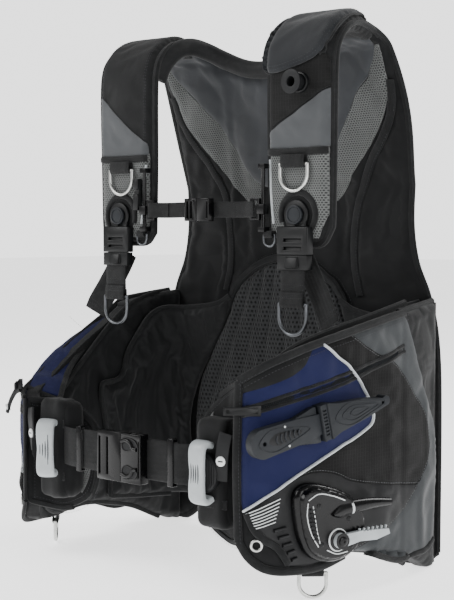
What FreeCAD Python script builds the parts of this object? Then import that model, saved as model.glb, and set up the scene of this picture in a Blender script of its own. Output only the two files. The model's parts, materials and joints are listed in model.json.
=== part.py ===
import FreeCAD, Part
import math
import os
import Sketcher
from FreeCAD import Placement, Rotation, Vector

# Buoyancy compensator vest. Millimetres, +Z up, the wearer faces -Y, the wearer's left is +X.
# The origin is the middle of the tank band, on the axis of the cylinder that the band clamps.

doc = FreeCAD.newDocument("vest")
sheet = doc.addObject("Spreadsheet::Sheet", "sizes")

# ---------------------------------------------------------------------------------------------
# Driving dimensions: alias, number, meaning
# ---------------------------------------------------------------------------------------------

CELLS = [
    ("tank_radius", 92.1, "radius of the cylinder that the band clamps"),
    ("band_height", 50, "width of the tank band's webbing"),
    ("band_thick", 2.6, "thickness of the tank band"),
    ("plate_rear", -95.5, "rear face of the backplate"),
    ("plate_thick", 8, "thickness of the backplate"),
    ("plate_half", 85, "half width of the backplate"),
    ("cell_rear", -104, "rear face of the back air cell"),
    ("cell_thick", 14, "thickness of the back air cell"),
    ("cell_skin", 2.5, "thickness of the air cell's cover around the bladder"),
    ("cell_half", 240, "half width of the back air cell at the waist"),
    ("pad_front", -128.5, "front face of the back pad"),
    ("flank_rear_x", 242, "flank's outer face at its rear edge, from the middle"),
    ("flank_rear_y", -119, "rear edge of the flank"),
    ("flank_wide_x", 250, "flank's widest place, from the middle"),
    ("flank_wide_y", -205, "flank's widest place, front to back"),
    ("flank_turn_x", 243, "where the flank starts to turn inwards, from the middle"),
    ("flank_turn_y", -310, "where the flank starts to turn inwards, front to back"),
    ("flank_bend_x", 226, "middle of the flank's front bend, from the middle"),
    ("flank_bend_y", -388, "middle of the flank's front bend, front to back"),
    ("flank_front_x", 184, "front end of the flank, from the middle"),
    ("flank_front_y", -440, "front end of the flank, front to back"),
    ("pocket_thick", 22, "thickness of the flat cargo pocket"),
    ("wing_thick", 16, "thickness of the air cell behind the pocket"),
    ("pocket_low", -298, "lowest edge of the cargo pocket"),
    ("hem_low", -338, "lowest edge of the rear hem"),
    ("strap_in", 102, "inner edge of a shoulder strap, from the middle"),
    ("strap_out", 200, "outer edge of a shoulder strap, from the middle"),
    ("strap_front", -292, "front face of a shoulder strap"),
    ("strap_thick", 22, "thickness of a padded shoulder strap"),
    ("strap_low", 75, "lower end of a shoulder strap"),
    ("shoulder_top", 357, "top of the shoulders"),
    ("yoke_low", 150.5, "seam between the back and the yoke"),
    ("yoke_top", 318, "seam between the yoke and the shoulder straps"),
    ("swivel_x", 155, "axis of a shoulder swivel, from the middle"),
    ("swivel_z", 111, "height of the shoulder swivels"),
    ("swivel_pin", 6.2, "radius of the swivel pin"),
    ("swivel_bore", 6.3, "radius of the bore that turns on the swivel pin"),
    ("webbing_wide", 38, "shoulder webbing"),
    ("waist_webbing", 50, "waist webbing"),
    ("chest_webbing", 20, "chest webbing"),
    ("waist_z", -183, "height of the waist buckle"),
    ("waist_front", -438, "rear face of the waist buckle"),
    ("chest_z", 118, "height of the chest buckle"),
    ("chest_front", -298, "rear face of the chest buckle"),
    ("rail_x", 104, "axis of a chest rail, from the middle"),
    ("rail_y", -299, "axis of a chest rail, front to back"),
    ("rail_radius", 2.5, "radius of a chest rail"),
    ("ring_wire", 4.5, "wire of the large rings"),
    ("ring_bow", 21.25, "bow radius of the large rings"),
    ("hip_bow", 16, "bow radius of the hip rings"),
    ("small_wire", 3, "wire of the small chest rings"),
    ("small_bow", 9, "bow radius of the small chest rings"),
    ("sleeve_in", 90, "inner side of a weight sleeve, from the middle"),
    ("sleeve_out", 170, "outer side of a weight sleeve, from the middle"),
    ("sleeve_front", -434, "mouth of a weight sleeve"),
    ("sleeve_rear", -400, "closed end of a weight sleeve"),
    ("sleeve_low", -262, "lower side of a weight sleeve"),
    ("sleeve_high", -118, "upper side of a weight sleeve"),
    ("sleeve_wall", 4, "wall of a weight sleeve"),
    ("control_z", -243, "height of the inflation control"),
    ("knife_z", -126, "height of the knife's middle"),
    ("fabric_gap", 0.4, "gap between soft pieces that lie on each other"),
]


class Size:
    """A length that knows its number and the sheet expression that gives it."""

    def __init__(self, number, text):
        self.number = number
        self.text = text

    def __add__(self, other):
        other = as_size(other)
        return Size(self.number + other.number, f"({self.text} + {other.text})")

    def __sub__(self, other):
        other = as_size(other)
        return Size(self.number - other.number, f"({self.text} - {other.text})")

    def __mul__(self, other):
        other = as_size(other)
        return Size(self.number * other.number, f"({self.text} * {other.text})")

    def __truediv__(self, other):
        other = as_size(other)
        return Size(self.number / other.number, f"({self.text} / {other.text})")

    def __rsub__(self, other):
        return as_size(other) - self

    def __neg__(self):
        return Size(-self.number, f"(-1 * {self.text})")

    __radd__ = __add__
    __rmul__ = __mul__


def as_size(value):
    """Turn a plain number into a Size."""
    if isinstance(value, Size):
        return value
    return Size(float(value), f"({float(value)})")


SIZES = {}
for row, (alias, value, meaning) in enumerate(CELLS, 1):
    sheet.set(f"A{row}", str(value))
    sheet.setAlias(f"A{row}", alias)
    sheet.set(f"B{row}", meaning)
    SIZES[alias] = Size(float(value), f"sizes.{alias}")
doc.recompute()


def size(alias):
    """One driving dimension."""
    return SIZES[alias]


# ---------------------------------------------------------------------------------------------
# Building blocks, all bound to the sheet
# ---------------------------------------------------------------------------------------------

NODES = []
LEFT_AND_RIGHT = ((1, "l"), (-1, "r"))
ALONG_X = Rotation(Vector(0, 1, 0), 90)
ALONG_Y = Rotation(Vector(1, 0, 0), -90)
UPRIGHT = Rotation()
PLANES = {
    "XY": (UPRIGHT, "z", Vector(0, 0, 1)),
    "XZ": (Rotation(Vector(1, 0, 0), 90), "y", Vector(0, 1, 0)),
    "YZ": (Rotation(Vector(1, 1, 1), 120), "x", Vector(1, 0, 0)),
}


def node(shape_object, label):
    """Name a finished sub-part and list it for the check and the files."""
    shape_object.Label = label
    NODES.append(shape_object)
    return shape_object


def bind(owner, name, value):
    """Bind one size of an object to the sheet."""
    owner.setExpression(name, as_size(value).text)


def place(owner, at, turn=UPRIGHT):
    """Turn an object, and bind where its own origin goes."""
    owner.Placement = Placement(Vector(*[as_size(value).number for value in at]), turn)
    for axis, value in zip("xyz", at):
        bind(owner, f"Placement.Base.{axis}", value)
    return owner


def ordered(first, second):
    """Two sizes, the lower one first."""
    pair = [as_size(first), as_size(second)]
    return sorted(pair, key=lambda entry: entry.number)


def box(name, x_span, y_span, z_span):
    """A box between two places on each axis."""
    solid = doc.addObject("Part::Box", name)
    spans = [ordered(*span) for span in (x_span, y_span, z_span)]
    for side_name, (low, high) in zip(("Length", "Width", "Height"), spans):
        bind(solid, side_name, high - low)
    return place(solid, [low for low, high in spans])


def cylinder(name, radius, length, at, turn=UPRIGHT):
    """A cylinder that starts at a place and runs along its turned Z axis."""
    solid = doc.addObject("Part::Cylinder", name)
    bind(solid, "Radius", radius)
    bind(solid, "Height", length)
    return place(solid, at, turn)


def sphere(name, radius, at):
    """A ball at a place."""
    solid = doc.addObject("Part::Sphere", name)
    bind(solid, "Radius", radius)
    return place(solid, at)


def fuse(name, *solids):
    """Join solids into one."""
    joined = doc.addObject("Part::MultiFuse", name)
    joined.Shapes = list(solids)
    return joined


def common(name, *solids):
    """What solids share."""
    shared = doc.addObject("Part::MultiCommon", name)
    shared.Shapes = list(solids)
    return shared


def cut(name, base, *tools):
    """Take tools away from a solid."""
    tool = tools[0] if len(tools) == 1 else fuse(name + "_tools", *tools)
    result = doc.addObject("Part::Cut", name)
    result.Base = base
    result.Tool = tool
    return result


def group(name, *solids):
    """Keep separate solids together in one node."""
    together = doc.addObject("Part::Compound", name)
    together.Links = list(solids)
    return together


def draw(sketch, stops):
    """Draw a closed outline: (a, b) is reached by a line, (a, b, c, d) by an arc through (c, d)."""
    corners = [(as_size(stop[0]), as_size(stop[1])) for stop in stops]
    ends = []
    for index, stop in enumerate(stops):
        start = Vector(*[value.number for value in corners[index - 1]])
        finish = Vector(*[value.number for value in corners[index]])
        if len(stop) == 2:
            number = sketch.addGeometry(Part.LineSegment(start, finish), False)
        else:
            middle = Vector(as_size(stop[2]).number, as_size(stop[3]).number)
            number = sketch.addGeometry(Part.Arc(start, middle, finish), False)
            radius = sketch.Geometry[number].Radius
            sketch.addConstraint(Sketcher.Constraint("Radius", number, radius))
        forwards = (sketch.getPoint(number, 2) - finish).Length < 0.001
        ends.append((number, 1, 2) if forwards else (number, 2, 1))
    for index, (number, start_end, finish_end) in enumerate(ends):
        before, before_start, before_finish = ends[index - 1]
        sketch.addConstraint(Sketcher.Constraint("Coincident", before, before_finish, number, start_end))
        for kind, value in zip(("DistanceX", "DistanceY"), corners[index]):
            pin = Sketcher.Constraint(kind, -1, 1, number, finish_end, value.number)
            bind(sketch, f"Constraints[{sketch.addConstraint(pin)}]", value)


def prism(name, plane, stops, low, high):
    """An outline drawn in a plane and stretched from low to high across it."""
    turn, axis, direction = PLANES[plane]
    sketch = doc.addObject("Sketcher::SketchObject", name + "_outline")
    draw(sketch, stops)
    place(sketch, [low if letter == axis else 0 for letter in "xyz"], turn)
    solid = doc.addObject("Part::Extrusion", name)
    solid.Base = sketch
    solid.DirMode = "Custom"
    solid.Dir = direction
    bind(solid, "LengthFwd", as_size(high) - low)
    solid.Solid = True
    return solid


def mirrored(stops, side):
    """An outline whose first coordinates are mirrored for the other side."""
    return [tuple(side * value if index % 2 == 0 else value for index, value in enumerate(stop))
            for stop in stops]


# ---------------------------------------------------------------------------------------------
# Back: plate, air cell, pads
# ---------------------------------------------------------------------------------------------

def make_backplate():
    """Moulded plate with two ribs that cradle the tank, and slots for the band."""
    half = size("plate_half")
    rear = size("plate_rear")
    front = rear - size("plate_thick")
    outline = [(-half, -215), (-half + 25, -240), (half - 25, -240), (half, -215), (half, 60),
               (60, 150), (0, 166, 34, 164), (-60, 150, -34, 164), (-half, 60)]
    plate = prism("plate_body", "XZ", outline, front, rear)
    ribs = [box(f"rib_{name}", (-62, 62), (rear - 1, -62), (low, low + 24))
            for name, low in (("low", -64), ("high", 40))]
    tank = cylinder("cradle", size("tank_radius") + 0.3, 500, (0, 0, -250))
    slots = [box(f"window_{index}", (x - 9, x + 9), (front - 1, rear + 1), (z, z + 52))
             for index, (x, z) in enumerate(((-58, -150), (58, -150), (-42, 74), (42, 74)))]
    node(cut("backplate", fuse("plate_and_ribs", plate, *ribs), tank, *slots), "backplate")


def make_carry_handle():
    """Rubber grip on the top of the plate, with a gap for the fingers."""
    rear = size("plate_rear")
    outer = [(-62, 168.5), (62, 168.5), (62, 190), (38, 214, 55, 207), (-38, 214), (-62, 190, -55, 207)]
    inner = [(-48, 175), (48, 175), (48, 188), (32, 202, 43, 198), (-32, 202), (-48, 188, -43, 198)]
    grip = prism("handle_outer", "XZ", outer, rear - 7, rear)
    gap = prism("handle_gap", "XZ", inner, rear - 9, rear + 2)
    node(cut("carry_handle", grip, gap), "carry_handle")


def back_outline(inset=0.0):
    """Front view of the back air cell, drawn smaller by inset."""
    half = size("cell_half") - inset
    low = size("hem_low") + inset
    top = size("yoke_low") - 0.5 - inset
    neck = 198 - inset
    return [(-half, low + 12), (-half + 24, low), (-172, -302 + inset), (0, -310 + inset, -90, -309 + inset),
            (172, -302 + inset, 90, -309 + inset), (half - 24, low), (half, low + 12), (half, -110),
            (neck, 40, 216 - inset, -30), (neck, top), (-neck, top), (-neck, 40),
            (-half, -110, -216 + inset, -30)]


def make_air_cell():
    """Back air cell: a closed cover with the bladder inside it."""
    rear = size("cell_rear")
    front = rear - size("cell_thick")
    skin = size("cell_skin")
    cover = prism("cell_outer", "XZ", back_outline(), front, rear)
    hollow = prism("cell_inner", "XZ", back_outline(skin.number * 3), front + skin, rear - skin)
    node(cut("air_cell_back", cover, hollow), "air_cell_back")
    film = back_outline(skin.number * 3 + 3)
    bladder = prism("air_bladder", "XZ", film, front + skin + 0.3, rear - skin - 0.3)
    node(bladder, "air_bladder")


def make_pads():
    """Mesh back pad with an arched top, and the two lumbar cushions beside it."""
    rear = size("cell_rear") - size("cell_thick") - size("fabric_gap")
    front = size("pad_front")
    arch = [(-72, -296), (72, -296), (72, -10), (0, 50, 52, 34), (-72, -10, -52, 34)]
    node(prism("back_pad", "XZ", arch, front, rear), "back_pad")
    cushions = []
    for side, letter in LEFT_AND_RIGHT:
        outline = [(75, -290), (176, -288), (192, -120), (176, -52, 192, -74), (110, -34), (75, -60)]
        cushions.append(prism(f"lumbar_{letter}", "XZ", mirrored(outline, side), front, rear))
    node(group("lumbar_pads", *cushions), "lumbar_pads")


def make_yoke():
    """Upper back that leans forward to the shoulders, with the neck cut-out."""
    low = size("yoke_low")
    top = size("yoke_top")
    profile = [(-104, low), (-128, 250, -113, 206), (-150, top, -137, 286), (-172, top),
               (-142, 246, -157, 284), (-118, low, -127, 200)]
    curve = prism("yoke_curve", "YZ", profile, -215, 215)
    outline = [(-196, low), (196, low), (203, 222), (190, top, 199, 280), (92, top), (0, 296, 50, 302),
               (-92, top, -50, 302), (-190, top), (-203, 222, -199, 280)]
    front_view = prism("yoke_outline", "XZ", outline, -190, -90)
    node(common("yoke_panel", curve, front_view), "yoke_panel")


def make_neck_roll():
    """Padded collar roll along the neck cut-out."""
    half_chord = 90
    sagitta = 21
    bend = (half_chord ** 2 + sagitta ** 2) / (2 * sagitta)
    sweep = 2 * math.degrees(math.asin(half_chord / bend))
    roll = doc.addObject("Part::Torus", "neck_roll")
    bind(roll, "Radius1", bend)
    bind(roll, "Radius2", 12)
    bind(roll, "Angle3", sweep)
    lean = Rotation(Vector(1, 0, 0), 90) * Rotation(Vector(0, 0, 1), 270 - sweep / 2)
    place(roll, (0, -190, 312 + bend), lean)
    node(roll, "neck_roll")


# ---------------------------------------------------------------------------------------------
# Shoulder straps
# ---------------------------------------------------------------------------------------------

def make_shoulder_straps():
    """Padded straps from the yoke over the shoulders and down to the swivel buckles."""
    front = size("strap_front")
    inner = front + size("strap_thick")
    top = size("shoulder_top")
    seam = size("yoke_top") + 0.5
    low = size("strap_low")
    profile = [(-150, seam), (-225, top, -181, 348), (front, 285, -273, 337), (front, low),
               (inner, low), (inner, 280), (-225, top - 24, -257, 318), (-172, seam, -196, 331)]
    straps = []
    for side, letter in LEFT_AND_RIGHT:
        x_in = size("strap_in")
        x_out = size("strap_out")
        curve = prism(f"strap_curve_{letter}", "YZ", profile, *ordered(side * x_in - 2, side * x_out + 2))
        outline = [(x_in, low + 14), (x_in + 14, low), (x_out - 18, low), (x_out, low + 22),
                   (x_out, 262), (x_out - 10, 365), (x_in - 2, 365), (x_in - 2, 300), (x_in, 250)]
        view = prism(f"strap_view_{letter}", "XZ", mirrored(outline, side), -320, -140)
        straps.append(common(f"strap_{letter}", curve, view))
    node(group("shoulder_straps", *straps), "shoulder_straps")


def make_shoulder_flap():
    """Lapel on the left shoulder that covers the inflator's mouthpiece."""
    front = size("strap_front") - 0.5
    top = size("shoulder_top") + 0.5
    profile = [(-215, top - 0.1), (-225, top), (front, 285, -273.4, 337.4), (front, 284), (front - 4, 284),
               (front - 4, 286), (-225, top + 4, -276.2, 340.2), (-215, top + 3.9)]
    curve = prism("flap_curve", "YZ", profile, 90, 210)
    outline = [(103, 292), (140, 286), (188, 300), (188, 370), (103, 370)]
    view = prism("flap_view", "XZ", outline, -320, -200)
    node(common("shoulder_flap", curve, view), "shoulder_flap")


def make_mouthpiece():
    """Oral inflator: a socket on the left strap, and the bell that is pressed to open it."""
    front = size("strap_front")
    at_x = 161
    at_z = 270
    socket = cylinder("socket_tube", 12.5, 8, (at_x, front - 8.5, at_z), ALONG_Y)
    bore = cylinder("socket_bore", 9.6, 20, (at_x, front - 18, at_z), ALONG_Y)
    node(cut("inflator_socket", socket, bore), "inflator_socket")
    neck = cylinder("mouth_neck", 9.2, 9, (at_x, front - 15, at_z), ALONG_Y)
    bell = doc.addObject("Part::Cone", "mouth_bell")
    bind(bell, "Radius1", 15)
    bind(bell, "Radius2", 11)
    bind(bell, "Height", 9)
    place(bell, (at_x, front - 24, at_z), ALONG_Y)
    air_way = cylinder("mouth_bore", 6, 30, (at_x, front - 30, at_z), ALONG_Y)
    node(cut("inflator_mouthpiece", fuse("mouth_solid", neck, bell), air_way), "inflator_mouthpiece")


# ---------------------------------------------------------------------------------------------
# Flanks: air cell wings, cargo pockets, zips
# ---------------------------------------------------------------------------------------------

def flank_point(place_name, inset):
    """A place on the flank's plan curve, set in from the outer face."""
    inwards = {"rear": (-1, 0), "wide": (-1, 0), "turn": (-0.99, 0.1), "bend": (-0.934, 0.357),
               "front": (-0.6, 0.8)}[place_name]
    at_x = size(f"flank_{place_name}_x")
    at_y = size(f"flank_{place_name}_y")
    return (at_x + inwards[0] * inset, at_y + inwards[1] * inset)


def flank_strip(name, side, outer, inner, stops, low, high):
    """A strip along the flank between two insets, kept inside a side view."""
    places = ("rear", "wide", "turn", "bend", "front")
    rear, wide, turn, bend, front = [flank_point(key, outer) for key in places]
    rear_in, wide_in, turn_in, bend_in, front_in = [flank_point(key, inner) for key in places]
    plan = [rear, turn + wide, front + bend, front_in, turn_in + bend_in, rear_in + wide_in]
    strip = prism(name + "_plan", "XY", mirrored(plan, side), low, high)
    view = prism(name + "_view", "YZ", stops, *ordered(side * 120, side * 270))
    return common(name, strip, view)


def make_wings():
    """Air cell wings that wrap round the wearer behind the cargo pockets."""
    low = size("hem_low")
    pocket_rear = size("flank_wide_y") + 0.5
    thick = size("pocket_thick") + size("fabric_gap")
    wings = []
    for side, letter in LEFT_AND_RIGHT:
        inner_view = [(-119, 44), (-205, -8, -158, 12), (-305, -32), (-385, -52), (-385, -284),
                      (-300, -286), (-205, -306), (-150, low + 10), (-119, low)]
        rear_view = [(-119, 44), (pocket_rear, -8, -158, 12), (pocket_rear, -306),
                     (-150, low + 10), (-119, low)]
        deep = thick + size("wing_thick")
        inner = flank_strip(f"wing_inner_{letter}", side, thick, deep, inner_view, -350, 60)
        rear = flank_strip(f"wing_rear_{letter}", side, as_size(0), thick + 1, rear_view, -350, 60)
        wings.append(fuse(f"wing_{letter}", inner, rear))
    node(group("air_cell_wings", *wings), "air_cell_wings")


def make_cargo_pockets():
    """Flat zipped pockets on the outside of the flanks."""
    low = size("pocket_low")
    rear = size("flank_wide_y")
    view = [(rear, -8), (-305, -27), (-387, -46), (-418, -60), (-446, -76), (-446, low + 30),
            (-425, low + 4), (-396, low), (-340, low), (-312, low + 8), (-271, low + 4), (rear, low - 8)]
    pockets = [flank_strip(f"pocket_{letter}", side, as_size(0), size("pocket_thick"), view, -350, 60)
               for side, letter in LEFT_AND_RIGHT]
    node(group("cargo_pockets", *pockets), "cargo_pockets")


def make_zip_sliders():
    """Zip sliders with their pull tabs, closed at the front end of the pockets."""
    for side, letter in LEFT_AND_RIGHT:
        body = box(f"slider_body_{letter}", (-9, 9), (3, 8), (-6, 6))
        bail = box(f"slider_bail_{letter}", (-5, 5), (8, 10.5), (-3, 3))
        tab = box(f"slider_tab_{letter}", (side * 4, side * 34), (8, 10.5), (-4.5, 4.5))
        hole = cylinder(f"slider_hole_{letter}", 2.2, 6, (side * 29, 6, 0), ALONG_Y)
        runner = cut(f"zip_slider_{letter}", fuse(f"slider_solid_{letter}", body, bail, tab), hole)
        outwards = Rotation(Vector(0, 0, 1), -135 if side > 0 else 135)
        node(place(runner, (side * 199.5, -428, -111), outwards), f"zip_slider_{letter}")


def make_grommets():
    """Drain eyelets at the lower front corners of the pockets."""
    eyelets = []
    for side, letter in LEFT_AND_RIGHT:
        ring = doc.addObject("Part::Torus", f"eyelet_{letter}")
        bind(ring, "Radius1", 6)
        bind(ring, "Radius2", 1.6)
        place(ring, (side * 205.6, -428.6, -265), Rotation(Vector(0, 0, 1), side * 42) * ALONG_Y)
        eyelets.append(ring)
    node(group("drain_eyelets", *eyelets), "drain_eyelets")


# ---------------------------------------------------------------------------------------------
# Rings and buckles
# ---------------------------------------------------------------------------------------------

def d_ring(name, bow, leg, wire, at, turn=UPRIGHT):
    """Wire ring: a straight bar along X, legs down from its ends and a half-round bow."""
    bow = as_size(bow)
    radius = as_size(wire) / 2
    bar = cylinder(f"{name}_bar", radius, bow * 2, (-bow, 0, 0), ALONG_X)
    ends = list(enumerate((-bow, bow)))
    legs = [cylinder(f"{name}_leg{index}", radius, leg, (x, 0, -as_size(leg))) for index, x in ends]
    corners = [sphere(f"{name}_corner{index}", radius, (x, 0, 0)) for index, x in ends]
    arc = doc.addObject("Part::Torus", f"{name}_bow")
    bind(arc, "Radius1", bow)
    bind(arc, "Radius2", radius)
    arc.Angle3 = 180
    place(arc, (0, 0, -as_size(leg)), ALONG_Y)
    ring = fuse(name, bar, *legs, *corners, arc)
    return place(ring, at, turn)


def ring_tab(name, bow, wire, thick, up, at, turn=UPRIGHT):
    """Folded webbing that holds a ring's bar."""
    half = as_size(bow) - as_size(wire) / 2 - 0.8
    radius = as_size(wire) / 2
    block = box(f"{name}_block", (-half, half), (-as_size(thick) / 2, as_size(thick) / 2), (-radius - 2, up))
    bore = cylinder(f"{name}_bore", radius + 0.3, half * 2 + 4, (-half - 2, 0, 0), ALONG_X)
    return place(cut(name, block, bore), at, turn)


def make_rings():
    """Hanging rings on the shoulders, chest and hips, with the webbing tabs that hold them."""
    wire = size("ring_wire")
    bow = size("ring_bow")
    front = size("strap_front")
    tabs = []
    for side, letter in LEFT_AND_RIGHT:
        shoulder_at = (side * 151, front - 5, 172)
        tabs.append(ring_tab(f"shoulder_tab_{letter}", bow, wire, 9, 16, shoulder_at))
        node(d_ring(f"shoulder_ring_{letter}", bow, 11, wire, shoulder_at), f"shoulder_ring_{letter}")
        chest_at = (side * 112, front - 4, 86)
        small_bow = size("small_bow")
        small_wire = size("small_wire")
        tabs.append(ring_tab(f"chest_tab_{letter}", small_bow, small_wire, 6.6, 3.5, chest_at))
        small = d_ring(f"chest_ring_{letter}", small_bow, 5, small_wire, chest_at)
        node(small, f"chest_ring_{letter}")
        hip_at = (side * 226, -352, size("pocket_low") - 9)
        turn = Rotation(Vector(0, 0, 1), side * 45)
        tabs.append(ring_tab(f"hip_tab_{letter}", size("hip_bow"), wire, 9, 8.5, hip_at, turn))
        node(d_ring(f"hip_ring_{letter}", size("hip_bow"), 12, wire, hip_at, turn), f"hip_ring_{letter}")
    node(group("ring_tabs", *tabs), "ring_tabs")


def side_release(prefix, rear, deep, middle, tall, socket_long, plug_long, prong_long):
    """Side-release buckle: a socket on the left, and a plug with a guide and two prongs."""
    front = rear - deep
    half = as_size(tall) / 2
    wall = as_size(tall) / 12
    shell = box(f"{prefix}_shell", (0, socket_long), (front, rear), (middle - half, middle + half))
    cavity = box(f"{prefix}_cavity", (-1, socket_long - 5), (front + 2.4, rear - 2.4),
                 (middle - half + wall, middle + half - wall))
    opening = (socket_long * 0.25, socket_long * 0.62)
    windows = [box(f"{prefix}_window{index}", opening, (front + 2.4, rear - 2.4), (low, low + wall * 2))
               for index, low in enumerate((middle - half - wall, middle + half - wall))]
    webbing_slot = box(f"{prefix}_slot", (socket_long - 4, socket_long - 2), (front - 1, rear + 1),
                       (middle - half + wall * 1.6, middle + half - wall * 1.6))
    socket = cut(f"{prefix}_socket_solid", shell, cavity, *windows, webbing_slot)
    base = box(f"{prefix}_base", (-plug_long, -0.5), (front, rear), (middle - half, middle + half))
    slots = [box(f"{prefix}_bar_slot{index}", (x, x + 3.2), (front - 1, rear + 1),
                 (middle - half + wall * 1.4, middle + half - wall * 1.4))
             for index, x in enumerate((-plug_long + 3, -plug_long + 3 + plug_long * 0.32))]
    guide = box(f"{prefix}_guide", (-1, prong_long * 0.8), (front + 3, rear - 3),
                (middle - wall, middle + wall))
    return socket, base, slots, guide


def prong(name, rear, deep, middle, tall, long, way, start):
    """One sprung arm of a plug; way is 1 for the upper arm and -1 for the lower one."""
    half = as_size(tall) / 2
    wall = as_size(tall) / 12
    outside = half - wall - 0.5
    shape = [(start, 0.4), (long * 0.45, 0.2), (long * 0.62, 0), (long, 1), (long, 2.2), (start, 1.7)]
    outline = [(x, middle + way * (outside - wall * inwards)) for x, inwards in shape]
    return prism(name, "XZ", outline, rear - deep + 3, rear - 3)


def make_waist_buckle():
    """Large buckle at the waist, with prongs that are squeezed to free it."""
    rear = size("waist_front")
    middle = size("waist_z")
    socket, base, slots, guide = side_release("waist", rear, 14, middle, 60, 34, 42, 26)
    shift = Placement(Vector(8, 0, 0), UPRIGHT)
    socket.Placement = shift
    node(socket, "waist_buckle_socket")
    plug = cut("waist_plug_solid", fuse("waist_plug_block", base, guide), *slots)
    plug.Placement = shift
    node(plug, "waist_buckle_plug")
    for way, word in ((1, "upper"), (-1, "lower")):
        arm = prong(f"waist_prong_{word}", rear, 14, middle, 60, 26, way, 0.6)
        arm.Placement = shift
        node(arm, f"waist_prong_{word}")


def make_chest_buckle():
    """Small buckle on the chest strap."""
    rear = size("chest_front")
    middle = size("chest_z")
    socket, base, slots, guide = side_release("chest", rear, 11, middle, 29, 21, 21, 14)
    node(socket, "chest_buckle_socket")
    arms = [prong(f"chest_arm_{index}", rear, 11, middle, 29, 14, way, -1)
            for index, way in enumerate((1, -1))]
    node(cut("chest_plug_solid", fuse("chest_plug_block", base, guide, *arms), *slots), "chest_buckle_plug")


def make_chest_strap():
    """Chest webbing between two sliders that run on rails down the straps."""
    front = size("strap_front")
    rail_x = size("rail_x")
    rail_y = size("rail_y")
    middle = size("chest_z")
    rails = []
    for side, letter in LEFT_AND_RIGHT:
        rod = cylinder(f"rod_{letter}", size("rail_radius"), 74, (side * rail_x, rail_y, 95))
        feet = [box(f"rail_foot_{letter}{index}", (side * rail_x - 5, side * rail_x + 5),
                    (rail_y - 4, front - 0.3), (low, low + 6)) for index, low in enumerate((90, 168))]
        rails.append(fuse(f"chest_rail_{letter}", rod, *feet))
        block = box(f"slider_block_{letter}", (side * (rail_x - 6), side * (rail_x + 5)),
                    (rail_y - 5.5, rail_y + 5), (middle - 6, middle + 6))
        loop = box(f"slider_loop_{letter}", (side * (rail_x - 20), side * (rail_x - 5)),
                   (rail_y - 2, rail_y + 3), (middle - 13.5, middle + 13.5))
        gap = box(f"slider_gap_{letter}", (side * (rail_x - 16.5), side * (rail_x - 8)),
                  (rail_y - 4, rail_y + 5), (middle - 10.4, middle + 10.4))
        bore_at = (side * rail_x, rail_y, middle - 10)
        bore = cylinder(f"slider_bore_{letter}", size("rail_radius") + 0.08, 20, bore_at)
        slider = cut(f"chest_slider_{letter}", fuse(f"slider_{letter}", block, loop), gap, bore)
        node(slider, f"chest_slider_{letter}")
        half = size("chest_webbing") / 2
        webbing = box(f"chest_webbing_{letter}", (side * 5, side * (rail_x - 20.2)),
                      (rail_y + 1.4, rail_y + 2.9), (middle - half, middle + half))
        node(webbing, f"chest_webbing_{letter}")
    node(group("chest_rails", *rails), "chest_rails")


def make_shoulder_buckles():
    """Buckles that swivel on the straps, with release plugs, tail webbing and pull rings."""
    front = size("strap_front")
    height = size("swivel_z")
    wire = size("ring_wire")
    bow = size("ring_bow")
    hubs = []
    for side, letter in LEFT_AND_RIGHT:
        middle = side * size("swivel_x")
        pin = cylinder(f"hub_pin_{letter}", size("swivel_pin"), 6.3, (middle, front - 6.5, height), ALONG_Y)
        dome = cylinder(f"hub_dome_{letter}", 12, 4, (middle, front - 10.5, height), ALONG_Y)
        hubs.append(fuse(f"swivel_hub_{letter}", pin, dome))
        disc = cylinder(f"swivel_disc_{letter}", 18, 4.6, (middle, front - 6.1, height), ALONG_Y)
        neck = box(f"swivel_neck_{letter}", (middle - 15, middle + 15), (front - 6.1, front - 1.5),
                   (height - 16, height - 8))
        body = box(f"buckle_body_{letter}", (middle - 24, middle + 24), (front - 13, front - 1.5),
                   (height - 49, height - 14.5))
        bore_at = (middle, front - 10, height)
        bore = cylinder(f"swivel_bore_{letter}", size("swivel_bore"), 12, bore_at, ALONG_Y)
        mouth = box(f"buckle_mouth_{letter}", (middle - 18, middle + 18), (front - 10, front - 4.5),
                    (height - 50, height - 19))
        slots = [box(f"buckle_slot_{letter}{index}", (middle - 14, middle + 14), (front - 14, front - 9),
                     (height - drop, height - drop + 4)) for index, drop in enumerate((33, 43))]
        solid = fuse(f"buckle_solid_{letter}", disc, neck, body)
        node(cut(f"shoulder_socket_{letter}", solid, bore, mouth, *slots), f"shoulder_socket_{letter}")
        plate = box(f"plug_plate_{letter}", (middle - 23, middle + 23), (front - 13, front - 2),
                    (height - 67, height - 49.5))
        tongue = box(f"plug_tongue_{letter}", (middle - 17.6, middle + 17.6), (front - 9.6, front - 4.9),
                     (height - 52, height - 21))
        ramp = [(front - 12.9, height - 66), (front - 18, height - 64), (front - 15, height - 52),
                (front - 12.9, height - 51)]
        thumb = prism(f"plug_thumb_{letter}", "YZ", ramp, middle - 9, middle + 9)
        node(fuse(f"shoulder_plug_{letter}", plate, tongue, thumb), f"shoulder_plug_{letter}")
        bar_at = (middle, front - 11, 2)
        half = size("webbing_wide") / 2
        run = box(f"tail_run_{letter}", (middle - half, middle + half), (front - 12, front - 10),
                  (6, height - 67.2))
        fold = ring_tab(f"tail_fold_{letter}", bow, wire, 9, 6, bar_at)
        node(fuse(f"tail_webbing_{letter}", run, fold), f"tail_webbing_{letter}")
        node(d_ring(f"tail_ring_{letter}", bow, 16, wire, bar_at), f"tail_ring_{letter}")
    node(group("swivel_hubs", *hubs), "swivel_hubs")


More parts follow.
